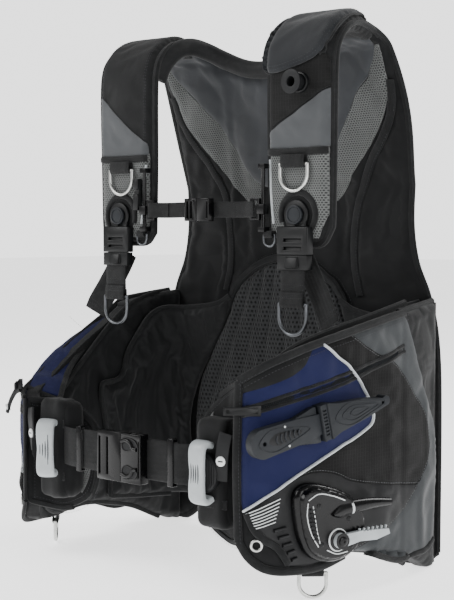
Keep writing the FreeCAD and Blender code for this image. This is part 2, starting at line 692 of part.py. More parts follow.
def make_static_webbing():
    """Webbing sewn to the vest: the waist belt's two ends and the load straps at the sides."""
    rear = size("waist_front") + 0.6
    half = size("waist_webbing") / 2
    middle = size("waist_z")
    pieces = []
    for side, letter in LEFT_AND_RIGHT:
        along = (side * 14, side * (size("sleeve_in") - 0.3))
        pieces.append(box(f"waist_run_{letter}", along, (rear, rear + 2), (middle - half, middle + half)))
        pieces.append(load_strap(side, letter))
    node(group("sewn_webbing", *pieces), "sewn_webbing")


def load_strap(side, letter):
    """Webbing from behind a shoulder buckle down to the top of the air cell wing."""
    top = Vector(side * 155, -284, 63)
    foot = Vector(side * 206, -294, -19)
    run = foot - top
    strip = doc.addObject("Part::Box", f"load_strap_{letter}")
    bind(strip, "Length", size("webbing_wide"))
    strip.Width = 1.8
    strip.Height = run.Length
    lean = Rotation(Vector(1, 0, 0), Vector(0, 1, 0), run.normalize(), "ZXY")
    start = top - lean.multVec(Vector(size("webbing_wide").number / 2, 0.9, 0))
    strip.Placement = Placement(start, lean)
    return strip


def make_keeper_loops():
    """Moulded loops that keep the loose end of the waist belt flat."""
    rear = size("waist_front") + 0.6
    middle = size("waist_z")
    half = size("waist_webbing") / 2
    loops = []
    for side, letter in LEFT_AND_RIGHT:
        frame = box(f"keeper_{letter}", (side * 76, side * 85), (rear - 3.5, rear + 5.5),
                    (middle - half - 4, middle + half + 4))
        hole = box(f"keeper_hole_{letter}", (side * 74, side * 87), (rear - 0.5, rear + 2.5),
                   (middle - half - 0.5, middle + half + 0.5))
        loops.append(cut(f"keeper_loop_{letter}", frame, hole))
    node(group("keeper_loops", *loops), "keeper_loops")


# ---------------------------------------------------------------------------------------------
# Integrated weights
# ---------------------------------------------------------------------------------------------

def make_weights():
    """Sleeves that hold the drop-out weight pouches, each pouch with its own handle."""
    wall = size("sleeve_wall")
    mouth = size("sleeve_front")
    rear = size("sleeve_rear")
    low = size("sleeve_low")
    high = size("sleeve_high")
    sleeves = []
    for side, letter in LEFT_AND_RIGHT:
        x_in = size("sleeve_in")
        x_out = size("sleeve_out")
        shell = box(f"sleeve_shell_{letter}", (side * x_in, side * x_out), (mouth, rear), (low, high))
        hollow = box(f"sleeve_hollow_{letter}", (side * (x_in + wall), side * (x_out - wall)),
                     (mouth - 1, rear - wall), (low + wall, high - wall))
        sleeves.append(cut(f"weight_sleeve_{letter}", shell, hollow))
        inside = wall + size("fabric_gap")
        pouch = box(f"weight_pouch_{letter}", (side * (x_in + inside), side * (x_out - inside)),
                    (mouth - 2, rear - inside), (low + inside, high - inside))
        node(pouch, f"weight_pouch_{letter}")
        node(weight_handle(side, letter, mouth - 2.2), f"weight_handle_{letter}")
    node(group("weight_sleeves", *sleeves), "weight_sleeves")


def weight_handle(side, letter, rear):
    """Pull handle: a back plate on the pouch and a rounded grip with a gap behind it."""
    middle = side * 137
    grip = [(rear, -221), (rear - 16, -219), (rear - 21, -212, -458, -217), (rear - 21, -162),
            (rear - 16, -155, -458, -157), (rear, -153)]
    gap = [(rear - 5, -209), (rear - 15, -209), (rear - 15, -165), (rear - 5, -165)]
    solid = prism(f"grip_{letter}", "YZ", grip, middle - 12.5, middle + 12.5)
    hollow = prism(f"grip_gap_{letter}", "YZ", gap, middle - 14, middle + 14)
    return cut(f"weight_handle_{letter}", solid, hollow)


# ---------------------------------------------------------------------------------------------
# Things on the left flank: inflation control and knife. Their own X runs to the front of the
# vest, their own Y points outwards and their own Z is up.
# ---------------------------------------------------------------------------------------------

FLANK_TURN = Rotation(Vector(0, 0, 1), -105)
FLANK_X = 239
FLANK_Y = -351


def trimmed_to_pocket(name, raw, low, high):
    """Cut the back of a piece to the pocket's curve, between two heights."""
    view = [(-205, low), (-205, high), (-460, high), (-460, low)]
    return cut(name, raw, flank_strip(name + "_bed", 1, as_size(-0.3), as_size(30), view, low, high))


def make_control():
    """Inflation control: a housing on the pocket, and the lever that fills or empties the cell."""
    at = (FLANK_X, FLANK_Y, size("control_z"))
    outline = [(43, 36), (20, 46, 36, 45), (-30, 30), (-50, -26, -57, 4), (-30, -44, -44, -38),
               (26, -36, -2, -48)]
    shell = prism("control_shell", "XZ", outline, -12, 12)
    crown = [tuple(value * 0.86 for value in stop) for stop in outline]
    face = prism("control_face", "XZ", crown, 11, 18)
    pivot = cylinder("control_pivot", 3, 10.5, (-10, 17, -21), ALONG_Y)
    cap = cylinder("control_cap", 5.5, 2, (-10, 27.2, -21), ALONG_Y)
    screw_wells = [cylinder(f"control_well_{index}", 2.6, 8, (x, 15, z), ALONG_Y)
                   for index, (x, z) in enumerate(((17, 21), (-24, 0), (13, -22), (-28, -32)))]
    solid = cut("control_solid", fuse("control_parts", shell, face, pivot, cap), *screw_wells)
    place(solid, at, FLANK_TURN)
    middle = size("control_z")
    node(trimmed_to_pocket("control_housing", solid, middle - 60, middle + 60), "control_housing")
    hub = cylinder("lever_hub", 9, 6, (-10, 20.6, -21), ALONG_Y)
    arm_outline = [(-10, -29), (-6, -14), (-40, -12), (-78, -14), (-80, -20), (-60, -25), (-36, -24)]
    arm = prism("lever_arm", "XZ", arm_outline, 20.6, 26.6)
    notches = [cylinder(f"lever_notch_{index}", 2, 8, (-42 - 4.6 * index, 20, -11.4), ALONG_Y)
               for index in range(8)]
    bore = cylinder("lever_bore", 3.08, 12, (-10, 18, -21), ALONG_Y)
    lever = cut("control_lever", fuse("lever_solid", hub, arm), bore, *notches)
    node(place(lever, at, FLANK_TURN), "control_lever")


def make_knife():
    """Short knife whose grip points forward, and the clip-on sheath that holds its blade."""
    at = (FLANK_X, FLANK_Y, size("knife_z"))
    turn = FLANK_TURN * Rotation(Vector(0, 1, 0), 12)
    outline = [(12, -21), (12, 21), (-2, 21), (-14, 17), (-56, 11), (-80, 5), (-84, -5, -90, 0), (-56, -11),
               (-14, -17), (-2, -21)]
    case = prism("sheath_case", "XZ", outline, 1.5, 15)
    slot = prism("sheath_slot", "XZ", [(14, -10), (14, 10), (-68, 7), (-74, 0), (-68, -7)], 5, 10.4)
    hole = cylinder("sheath_hole", 2.4, 20, (-80, 0, 0), ALONG_Y)
    ribs = [box(f"sheath_rib_{index}", (3, 8), (13, 17), (low, low + 2))
            for index, low in enumerate(range(-15, 16, 4))]
    node(place(cut("knife_sheath", case, slot, hole, *ribs), at, turn), "knife_sheath")
    blade = prism("knife_blade", "XZ", [(16, -8), (16, 8), (-62, 6), (-70, 0), (-62, -6)], 6, 9.4)
    grip = [(12.5, -12), (12.5, 12), (45, 15), (94, 17), (94, -17, 110, 0), (45, -15)]
    handle = prism("knife_grip", "XZ", grip, 2, 14)
    tab = [(15, 11), (15, 21), (20, 21), (48, 14.8)]
    tabs = [prism(f"knife_tab_{index}", "XZ", [(x, way * z) for x, z in tab], 4, 12)
            for index, way in enumerate((1, -1))]
    lanyard_hole = cylinder("knife_hole", 2.4, 20, (92, 0, 0), ALONG_Y)
    solid = cut("knife_solid", fuse("knife_parts", blade, handle, *tabs), lanyard_hole)
    node(place(solid, at, turn), "knife")


def make_whistle():
    """Safety whistle on the right strap."""
    front = size("strap_front")
    tube = box("whistle_tube", (-123, -114), (front - 10.5, front - 0.5), (118, 160))
    window = box("whistle_window", (-125, -112), (front - 11, front - 8), (140, 146))
    node(cut("whistle", tube, window), "whistle")


# ---------------------------------------------------------------------------------------------
# Tank band
# ---------------------------------------------------------------------------------------------

def make_tank_band():
    """Webbing ring that clamps the cylinder, closed by a cam buckle at the rear."""
    inner = size("tank_radius")
    outer = inner + size("band_thick")
    tall = size("band_height")
    ring = cylinder("band_outer", outer, tall, (0, 0, -tall / 2))
    bore = cylinder("band_bore", inner, tall + 4, (0, 0, -tall / 2 - 2))
    node(cut("tank_band", ring, bore), "tank_band")
    face = outer + 0.4
    bed = box("cam_bed", (-34, 34), (face, face + 4), (-27, 27))
    cheeks = [box(f"cam_cheek_{index}", (-34, -10), (face + 3, face + 17), (low, low + 3))
              for index, low in enumerate((-29.5, 26.5))]
    hinge = cylinder("cam_pin", 2.5, 56, (-24, face + 11, -28))
    node(fuse("cam_buckle_base", bed, *cheeks, hinge), "cam_buckle_base")
    drum = cylinder("cam_drum", 6, 52, (-24, face + 11, -26))
    arm = box("cam_arm", (-24, 46), (face + 8, face + 14), (-26, 26))
    window = box("cam_window", (4, 34), (face + 6, face + 16), (-15, 15))
    pin_bore = cylinder("cam_bore", 2.58, 60, (-24, face + 11, -30))
    node(cut("cam_lever", fuse("cam_lever_solid", drum, arm), window, pin_bore), "cam_lever")


def make_dump_valve():
    """Lower rear dump valve, with its flange against the air cell."""
    rear = size("cell_rear") + 0.4
    flange = cylinder("valve_flange", 24, 4, (165, rear, -225), ALONG_Y)
    dome = cylinder("valve_dome", 17, 9, (165, rear + 3, -225), ALONG_Y)
    vents = [box(f"valve_vent_{index}", (165 + x, 168 + x), (rear + 8, rear + 14), (-236, -214))
             for index, x in enumerate((-10, -1.5, 7))]
    node(cut("dump_valve", fuse("valve_solid", flange, dome), *vents), "dump_valve")


# ---------------------------------------------------------------------------------------------
# Build, check and write
# ---------------------------------------------------------------------------------------------

make_backplate()
make_carry_handle()
make_air_cell()
make_pads()
make_yoke()
make_neck_roll()
make_shoulder_straps()
make_shoulder_flap()
make_mouthpiece()
make_wings()
make_cargo_pockets()
make_zip_sliders()
make_grommets()
make_rings()
make_waist_buckle()
make_chest_buckle()
make_chest_strap()
make_shoulder_buckles()
make_static_webbing()
make_keeper_loops()
make_weights()
make_control()
make_knife()
make_whistle()
make_tank_band()
make_dump_valve()

doc.recompute()

failed = [item.Label for item in doc.Objects if "Invalid" in item.State or "Error" in item.State]
if failed:
    raise RuntimeError(f"objects failed to rebuild: {failed}")
for item in NODES:
    if item.Shape.isNull() or not item.Shape.isValid() or not item.Shape.Solids:
        raise RuntimeError(f"sub-part has no sound solid: {item.Label}")

os.makedirs("parts", exist_ok=True)
for item in NODES:
    item.Shape.exportStep(f"parts/{item.Label}.step")
print(len(NODES), "sub-parts written")
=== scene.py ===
"""The looks of a buoyancy vest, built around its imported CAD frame.

Lengths are in millimetres in the frame's axes (+X the wearer's left, -Y the front, +Z up) and
become metres where a mesh is made. Fabric is made of panels laid on bent surfaces: (u, v) is a
place on the surface and height is the distance out from it. Padded panels are inflated as cloth,
then bindings, patches, stitches and webbing are laid on the inflated shape.
"""

import json
import math

import bmesh
import bpy
import numpy as np
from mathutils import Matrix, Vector, geometry
from mathutils.bvhtree import BVHTree

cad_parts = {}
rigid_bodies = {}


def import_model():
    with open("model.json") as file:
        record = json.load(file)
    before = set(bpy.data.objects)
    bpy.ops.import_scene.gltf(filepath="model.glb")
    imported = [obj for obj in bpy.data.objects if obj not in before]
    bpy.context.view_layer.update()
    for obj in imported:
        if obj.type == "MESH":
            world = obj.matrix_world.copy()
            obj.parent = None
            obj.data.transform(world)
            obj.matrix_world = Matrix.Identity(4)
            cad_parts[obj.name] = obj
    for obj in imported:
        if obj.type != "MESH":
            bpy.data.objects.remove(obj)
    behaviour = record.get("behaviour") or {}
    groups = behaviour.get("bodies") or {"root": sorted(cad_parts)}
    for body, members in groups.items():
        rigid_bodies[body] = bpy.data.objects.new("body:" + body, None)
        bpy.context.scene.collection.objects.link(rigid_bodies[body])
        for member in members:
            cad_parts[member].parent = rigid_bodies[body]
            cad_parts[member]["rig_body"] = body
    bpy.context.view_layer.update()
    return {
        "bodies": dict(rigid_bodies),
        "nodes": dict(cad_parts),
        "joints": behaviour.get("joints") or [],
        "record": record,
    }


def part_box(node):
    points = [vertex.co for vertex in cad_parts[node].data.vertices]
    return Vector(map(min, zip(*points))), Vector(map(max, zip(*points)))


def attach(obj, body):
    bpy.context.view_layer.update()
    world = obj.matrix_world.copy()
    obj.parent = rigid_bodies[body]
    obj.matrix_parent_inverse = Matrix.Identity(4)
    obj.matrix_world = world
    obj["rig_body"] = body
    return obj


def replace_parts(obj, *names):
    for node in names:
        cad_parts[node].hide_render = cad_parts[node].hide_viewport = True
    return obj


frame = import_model()

MM = 0.001
LEFT, RIGHT = 1, -1
LETTER = {LEFT: "l", RIGHT: "r"}
TURN = 2 * math.pi
SHARP_ANGLE = math.radians(48)  # an edge that turns more than this is shaded as a crease
FOLD_SPREAD = 0.3  # how far cloth folds stray from their main direction, in radians
CLOTH_FRAMES = 20  # steps of each cloth run
REAR_SHIFT = 500  # how far apart the cloth coordinates of a panel's two faces are
STRAP_LOW = 75  # the shoulder straps' lower ends
SWIVEL_X, SWIVEL_Z = 155, 111  # the shoulder swivels' axes
WAIST_Z = -183.0  # the middle of the waist belt
CONTROL_AT, KNIFE_AT = (239, -351, -243), (239, -351, -126)  # on the left flank's outer face


# ---------------------------------------------------------------- lines and surfaces

def smooth(points, step=4.0, closed=False):
    """Points along a smooth line through the given ones. A point given twice is a corner."""
    p = np.array(points, float)
    count = len(p)
    runs = []
    for i in range(count if closed else count - 1):
        a, b = p[i], p[(i + 1) % count]
        length = np.linalg.norm(b - a)
        if length == 0:
            continue
        before = p[i - 1] if closed or i else a
        after = p[(i + 2) % count] if closed or i + 2 < count else b
        leave = (b - before) * length / (length + np.linalg.norm(a - before))
        arrive = (after - a) * length / (length + np.linalg.norm(after - b))
        steps = max(1, math.ceil(length / step))
        t = (np.arange(steps) / steps)[:, None]
        runs.append((2 * t**3 - 3 * t**2 + 1) * a + (t**3 - 2 * t**2 + t) * leave
                    + (3 * t**2 - 2 * t**3) * b + (t**3 - t**2) * arrive)
    if not closed:
        runs.append(p[-1:])
    return np.vstack(runs)


def corners(points):
    """The same outline with every point a corner."""
    return [point for point in points for _ in range(2)]


def looped(line):
    """A closed line with its first point given again at its end."""
    return np.vstack([line, line[:1]])


def lengths(points):
    """The distance along a line to each of its points."""
    return np.concatenate([[0], np.cumsum(np.linalg.norm(np.diff(points, axis=0), axis=1))])


def evenly(points, pitch):
    """Points at an even pitch along a line."""
    along = lengths(points)
    at = np.linspace(0, along[-1], max(2, round(along[-1] / pitch) + 1))
    return np.stack([np.interp(at, along, points[:, k]) for k in range(points.shape[1])], 1)


def unit(vectors):
    return vectors / np.maximum(np.linalg.norm(vectors, axis=-1, keepdims=True), 1e-9)


def height_up(line):
    """Counts a back line's points by their height, and over the shoulder by their reach forward."""
    return line[:, 1] + np.maximum(0, -172 - line[:, 0])


class Surface:
    """A surface that is straight one way and follows a line the other way.

    A wall stands on a line drawn in (x, y): u runs along the line and v is the height z.
    A drape hangs over a line drawn in (y, z): u is x and v runs along the line, or is z itself
    where keys says so. facing is roughly the way out of the surface, in the line's own two axes.
    """

    def __init__(self, kind, line, facing, side=LEFT, keys=None):
        self.kind, self.side = kind, side
        self.line = smooth(line, 2.0)
        self.keys = lengths(self.line) if keys is None else keys(self.line)
        way = unit(np.gradient(self.line, axis=0))
        self.out = np.stack([-way[:, 1], way[:, 0]], 1)
        if self.out[len(self.out) // 2] @ np.array(facing, float) < 0:
            self.out = -self.out
        if self.keys[0] > self.keys[-1]:
            self.line, self.keys, self.out = self.line[::-1], self.keys[::-1], self.out[::-1]
        self.trees = []

    def bare(self, uv):
        """Places on the bare surface and the way out of it there."""
        along, across = (uv[:, 0], uv[:, 1]) if self.kind == "wall" else (uv[:, 1], uv[:, 0])
        a, b = (np.interp(along, self.keys, self.line[:, k]) for k in range(2))
        na, nb = (np.interp(along, self.keys, self.out[:, k]) for k in range(2))
        zero = np.zeros(len(uv))
        if self.kind == "wall":
            places, out = np.stack([a, b, across], 1), np.stack([na, nb, zero], 1)
        else:
            places, out = np.stack([across, a, b], 1), np.stack([zero, na, nb], 1)
        mirror = np.array([self.side, 1, 1])
        return places * mirror, unit(out * mirror)

    def cover(self, *objects):
        """From now on heights are measured from these pieces instead of the bare surface."""
        self.trees = []
        for o in objects:
            verts = [v.co / MM for v in o.data.vertices]
            self.trees.append(BVHTree.FromPolygons(verts, [p.vertices[:] for p in o.data.polygons]))
        return self

    def frame(self, uv):
        """Places on the covered surface and the way out of it."""
        uv = np.atleast_2d(np.array(uv, float))
        places, out = self.bare(uv)
        if self.trees:
            reach = 60.0
            for i in range(len(uv)):
                start, way = Vector(places[i] + out[i] * reach), Vector(-out[i])
                hits = [tree.ray_cast(start, way, 2 * reach)[3] for tree in self.trees]
                hits = [h for h in hits if h is not None]
                if hits:
                    places[i] += out[i] * (reach - min(hits))
        return places, out

    def at(self, uv, height=0.0):
        places, out = self.frame(uv)
        return places + out * np.reshape(height, (-1, 1))


# ---------------------------------------------------------------- meshes

def finish_piece(name, verts, faces, look, cloth=None, edge=None, body="root"):
    """A mesh object in metres with its cloth coordinates. It rides on a body: the root, or one that moves."""
    mesh = bpy.data.meshes.new(name)
    mesh.from_pydata([tuple(v) for v in np.array(verts) * MM], [], faces)
    o = bpy.data.objects.new(name, mesh)
    bpy.context.scene.collection.objects.link(o)
    if cloth is not None:
        layer = mesh.attributes.new("cloth", "FLOAT_VECTOR", "POINT")
        flat = np.zeros((len(mesh.vertices), 3), np.float32)
        flat[:, :2] = np.array(cloth)[:, :2] * MM
        layer.data.foreach_set("vector", flat.ravel())
    if edge is not None:
        layer = mesh.attributes.new("edge", "FLOAT", "POINT")
        layer.data.foreach_set("value", np.array(edge, np.float32) * MM)
    b = bmesh.new()
    b.from_mesh(mesh)
    bmesh.ops.recalc_face_normals(b, faces=b.faces)
    b.to_mesh(mesh)
    b.free()
    mesh.polygons.foreach_set("use_smooth", [True] * len(mesh.polygons))
    mesh.set_sharp_from_angle(angle=SHARP_ANGLE)
    mesh.update()
    mesh.materials.append(LOOKS[look[0]])
    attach(o, body)
    return o


def distance_to(points, line, closed=True):
    """How far each point is from a line."""
    a = line
    b = np.roll(line, -1, 0) if closed else line[1:]
    a = a[:len(b)]
    way = b - a
    size2 = np.maximum((way**2).sum(1), 1e-9)
    best = np.full(len(points), 1e9)
    for i in range(len(a)):
        t = np.clip(((points - a[i]) @ way[i]) / size2[i], 0, 1)
        best = np.minimum(best, np.linalg.norm(points - a[i] - t[:, None] * way[i], axis=1))
    return best


def inside(points, line):
    """Which points lie inside a closed line."""
    x, y = points[:, 0], points[:, 1]
    hit = np.zeros(len(points), bool)
    for (ax, ay), (bx, by) in zip(line, np.roll(line, -1, 0)):
        cross = (ay > y) != (by > y)
        with np.errstate(divide="ignore", invalid="ignore"):
            hit ^= cross & (x < (bx - ax) * (y - ay) / (by - ay) + ax)
    return hit


def puff(height, width):
    """A height that rises from nothing at the outline to a round shoulder."""
    return lambda uv, d: height * np.sqrt(1 - (1 - np.clip(d / width, 0, 1))**2)


def folds(seed, size, angle, depth):
    """Soft cloth folds of about one size that run mostly one way."""
    dice = np.random.default_rng(seed)
    terms = []
    for _ in range(7):
        turn = math.radians(angle + 90) + dice.normal(0, FOLD_SPREAD)
        k = TURN / (size * dice.uniform(0.7, 1.9))
        terms.append((k * math.cos(turn), k * math.sin(turn), dice.uniform(0, TURN)))

    def height(uv, d):
        total = sum(np.sin(kx * uv[:, 0] + ky * uv[:, 1] + p) for kx, ky, p in terms) / 3
        ridge = np.exp(-(total * 1.6)**2)
        patch = 0.5 + 0.5 * np.sin(uv[:, 0] / (size * 2.3) + seed) * np.sin(uv[:, 1] / (size * 3.1) + seed)
        return depth * ridge * patch * np.clip(d / 12, 0, 1)
    return height


def groove(lines, depth, width):
    """Sewn channels along lines on a panel."""
    def height(uv, d):
        near = np.min([distance_to(uv, line, False) for line in lines], axis=0)
        return -depth * np.exp(-(near / width)**2)
    return height


def relief(*parts):
    return lambda uv, d: sum(part(uv, d) for part in parts)


def panel(name, surface, outline, look, front=None, back=None, lift=0.0, depth=3.0, step=5.0, body="root"):
    """A closed piece of fabric inside an outline on a surface.

    front and back give the height of its two faces; back counts from depth below the surface.
    """
    outline = evenly(looped(outline), step)[:-1]
    low, high = outline.min(0), outline.max(0)
    rows = np.arange(low[1], high[1], step * 0.866)
    grid = np.array([(x + step * 0.5 * (j % 2), y) for j, y in enumerate(rows)
                     for x in np.arange(low[0], high[0], step)])
    grid = grid[inside(grid, outline)]
    grid = grid[distance_to(grid, outline) > step * 0.55]
    uv = np.vstack([outline, grid])
    rim = len(outline)
    edges = [(i, (i + 1) % rim) for i in range(rim)]
    made = geometry.delaunay_2d_cdt([Vector(p) for p in uv], edges, [], 1, 1e-5)
    uv = np.array([tuple(p) for p in made[0]])
    faces = [tuple(f) for f in made[2]]
    order = {}
    for new, olds in enumerate(made[3]):
        for old in olds:
            order[old] = new
    loop = [order[i] for i in range(rim)]
    d = distance_to(uv, outline)
    top = lift + (front(uv, d) if front else 0)
    base = lift - depth + (back(uv, d) if back else 0)
    places, out = surface.frame(uv)
    verts = np.vstack([places + out * np.reshape(top, (-1, 1)), places + out * np.reshape(base, (-1, 1))])
    n = len(uv)
    faces += [tuple(n + i for i in reversed(f)) for f in faces]
    faces += [(loop[i], loop[(i + 1) % rim], n + loop[(i + 1) % rim], n + loop[i]) for i in range(rim)]
    cloth = np.vstack([uv, uv + REAR_SHIFT])
    return finish_piece(name, verts, faces, look, cloth, np.tile(d, 2), body=body)


def sweep(name, path, out, profile, look, closed=False, taper=None, body="root"):
    """A profile of (across, out) points carried along a path, such as a tape, a cord or a bar."""
    path, out = np.array(path, float), unit(np.array(out, float))
    if closed:
        way = unit(np.roll(path, -1, 0) - np.roll(path, 1, 0))
    else:
        way = unit(np.gradient(path, axis=0))
    out = unit(out - (out * way).sum(1, keepdims=True) * way)
    across = np.cross(way, out)
    along = lengths(path)
    ring = len(profile)
    verts, cloth = [], []
    around = lengths(looped(profile))
    for i in range(len(path)):
        k = 1.0 if taper is None else taper[i]
        for j, (a, h) in enumerate(profile):
            verts.append(path[i] + across[i] * a * k + out[i] * h)
            cloth.append((around[j], along[i]))
    faces = []
    stops = len(path) if closed else len(path) - 1
    for i in range(stops):
        here, there = i * ring, ((i + 1) % len(path)) * ring
        faces += [(here + j, here + (j + 1) % ring, there + (j + 1) % ring, there + j) for j in range(ring)]
    if not closed:
        last = (len(path) - 1) * ring
        faces += [tuple(range(ring))[::-1], tuple(range(last, last + ring))]
    return finish_piece(name, verts, faces, look, cloth, body=body)


def round_profile(radius, sides):
    return [(radius * math.cos(TURN * i / sides), radius * math.sin(TURN * i / sides)) for i in range(sides)]


def oval(wide, tall):
    """The section of a bar with an oval face."""
    return [(wide * math.cos(t), tall * math.sin(t)) for t in np.linspace(0, TURN, 17)[:-1]]


def tape_profile(width, thick, crown=0.0):
    """The section of a tape: flat, with round edges and, for a binding, a crowned face."""
    half, r = width / 2, thick / 2
    side = [(half - r * (1 - math.cos(t)), r * math.sin(t)) for t in (-1.2, -0.6, 0, 0.6, 1.2)]
    top = [(half * k, r + crown * (1 - k * k)) for k in (0.6, 0.2, -0.2, -0.6)]
    low = [(half * k, -r) for k in (-0.5, 0.5)]
    return side + top + [(-a, h) for a, h in reversed(side)] + low


def tape(name, surface, line, width, thick, look, lift=None, crown=0.0, closed=False, step=4.0, body="root"):
    """A tape laid along a line on a surface."""
    uv = evenly(line, step)
    if closed:
        uv = uv[:-1]
    places, out = surface.frame(uv)
    places = places + out * (thick / 2 if lift is None else lift)
    return sweep(name, places, out, tape_profile(width, thick, crown), look, closed, body=body)


def stitches(name, surface, rows, look, pitch=4.2, length=3.0, thick=0.45, lift=0.15, body="root"):
    """Rows of sewn stitches, each a small thread bump."""
    verts, faces, cloth = [], [], []
    for row in rows:
        uv = evenly(np.array(row, float), pitch)
        places, out = surface.frame(uv)
        places = places + out * lift
        way = unit(np.gradient(places, axis=0))
        side = np.cross(way, out)
        for p, w, s, n in zip(places, way, side, out):
            k = len(verts)
            verts += [p - w * length / 2, p + w * length / 2, p + s * thick, p - s * thick,
                      p + n * thick, p - n * thick]
            faces += [(k, k + 4, k + 2), (k, k + 2, k + 5), (k, k + 5, k + 3), (k, k + 3, k + 4),
                      (k + 1, k + 2, k + 4), (k + 1, k + 5, k + 2), (k + 1, k + 3, k + 5),
                      (k + 1, k + 4, k + 3)]
            cloth += [p[:2]] * 6
    return finish_piece(name, verts, faces, look, cloth, body=body)


def offset_line(line, by, closed=True):
    """A line moved sideways in (u, v), inwards for a counter-clockwise outline."""
    line = np.array(line, float)
    if closed:
        way = unit(np.roll(line, -1, 0) - np.roll(line, 1, 0))
    else:
        way = unit(np.gradient(line, axis=0))
    return line + np.stack([-way[:, 1], way[:, 0]], 1) * by


# ---------------------------------------------------------------- materials

def tint(*rgb):
    """A colour given as it looks on a screen, 0 to 255, as the shader wants it."""
    return tuple(((c / 255 + 0.055) / 1.055)**2.4 if c > 10 else c / 255 / 12.92 for c in rgb) + (1.0,)


class Look:
    """A procedural material, built node by node."""

    def __init__(self, name, **sockets):
        self.material = bpy.data.materials.new(name)
        self.material.use_nodes = True
        self.tree = self.material.node_tree
        self.tree.nodes.clear()
        self.shader = self.tree.nodes.new("ShaderNodeBsdfPrincipled")
        output = self.tree.nodes.new("ShaderNodeOutputMaterial")
        self.tree.links.new(self.shader.outputs[0], output.inputs[0])
        for socket, value in sockets.items():
            self.shader.inputs[socket.replace("_", " ")].default_value = value

    def feed(self, socket, value):
        if isinstance(value, bpy.types.NodeSocket):
            self.tree.links.new(value, socket)
        else:
            socket.default_value = value

    def add(self, kind, inputs=(), **settings):
        """A node with its settings, and its inputs by number or name."""
        node = self.tree.nodes.new("ShaderNode" + kind)
        for key, value in settings.items():
            setattr(node, key, value)
        for key, value in (inputs.items() if isinstance(inputs, dict) else enumerate(inputs)):
            self.feed(node.inputs[key], value)
        return node

    def math(self, operation, a, b=0.0, c=0.0):
        return self.add("Math", (a, b, c), operation=operation).outputs[0]

    def wave(self, value, pitch, shift=0.0):
        """A wave from 0 to 1 that repeats every pitch metres."""
        turned = self.math("SINE", self.math("MULTIPLY_ADD", value, TURN / pitch, shift))
        return self.math("MULTIPLY_ADD", turned, 0.5, 0.5)

    def noise(self, place, scale, detail=3.0, rough=0.55):
        inputs = {"Vector": place, "Scale": scale, "Detail": detail, "Roughness": rough}
        return self.add("TexNoise", inputs).outputs[0]

    def span(self, value, low, high, to_low=0.0, to_high=1.0):
        """A value's range carried over to another range, held at its ends."""
        node = self.add("MapRange", (value, low, high, to_low, to_high), clamp=True)
        return node.outputs[0]

    def mix(self, share, a, b):
        node = self.add("Mix", data_type="RGBA")
        for key, value in ((0, share), (6, a), (7, b)):
            self.feed(node.inputs[key], value)
        return node.outputs[2]

    def axes(self, vector):
        return self.add("SeparateXYZ", (vector,)).outputs

    def place(self):
        return self.add("TexCoord").outputs["Object"]

    def attribute(self, name, output):
        return self.add("Attribute", attribute_name=name).outputs[output]

    def bump(self, height, depth, strength=1.0):
        inputs = {"Strength": strength, "Distance": depth * MM, "Height": height}
        self.feed(self.shader.inputs["Normal"], self.add("Bump", inputs).outputs[0])

    def set(self, socket, value):
        self.feed(self.shader.inputs[socket], value)


def ellipses(look, u, v, wide, tall, open_share):
    """Staggered oval holes: 1 on the threads and 0 in the holes."""
    row = look.math("DIVIDE", v, tall)
    odd = look.math("MODULO", look.math("FLOOR", row), 2.0)
    column = look.math("MULTIPLY_ADD", look.math("ABSOLUTE", odd), 0.5, look.math("DIVIDE", u, wide))
    a = look.math("SUBTRACT", look.math("FRACT", column), 0.5)
    b = look.math("SUBTRACT", look.math("FRACT", row), 0.5)
    far = look.math("SQRT", look.math("ADD", look.math("MULTIPLY", a, a), look.math("MULTIPLY", b, b)))
    return look.span(far, open_share - 0.12, open_share + 0.1)


def weave_height(look, kind, u, v, pitch):
    """How high the threads stand, 0 to 1, for each kind of cloth."""
    if kind == "twill":
        slant = look.wave(look.math("MULTIPLY_ADD", v, 0.6, u), pitch)
        return look.math("MULTIPLY", slant, look.math("MULTIPLY_ADD", look.wave(v, pitch * 0.7), 0.5, 0.5))
    if kind == "plain":
        return look.math("MULTIPLY_ADD", look.math("SUBTRACT", look.wave(u, pitch), 0.5),
                         look.math("SUBTRACT", look.wave(v, pitch), 0.5), 0.5)
    if kind == "ribs":
        chevron = look.math("PINGPONG", u, pitch * 1.6)
        rib = look.wave(look.math("MULTIPLY_ADD", chevron, 0.7, v), pitch)
        return look.math("MULTIPLY", rib, look.math("MULTIPLY_ADD", look.wave(u, pitch * 0.8), 0.3, 0.7))
    if kind == "ripstop":
        lines = look.math("MAXIMUM", look.math("POWER", look.wave(u, pitch * 4), 14.0),
                          look.math("POWER", look.wave(v, pitch * 4), 14.0))
        cloth = look.math("MULTIPLY", look.wave(u, pitch), look.wave(v, pitch))
        return look.math("MAXIMUM", lines, look.math("MULTIPLY", cloth, 0.6))
    if kind == "air":
        return ellipses(look, u, v, pitch, pitch * 1.15, 0.3)
    if kind == "net":
        return ellipses(look, u, v, pitch, pitch * 0.8, 0.33)
    return look.noise(look.attribute("cloth", "Vector"), 900.0 / pitch, 2.0)


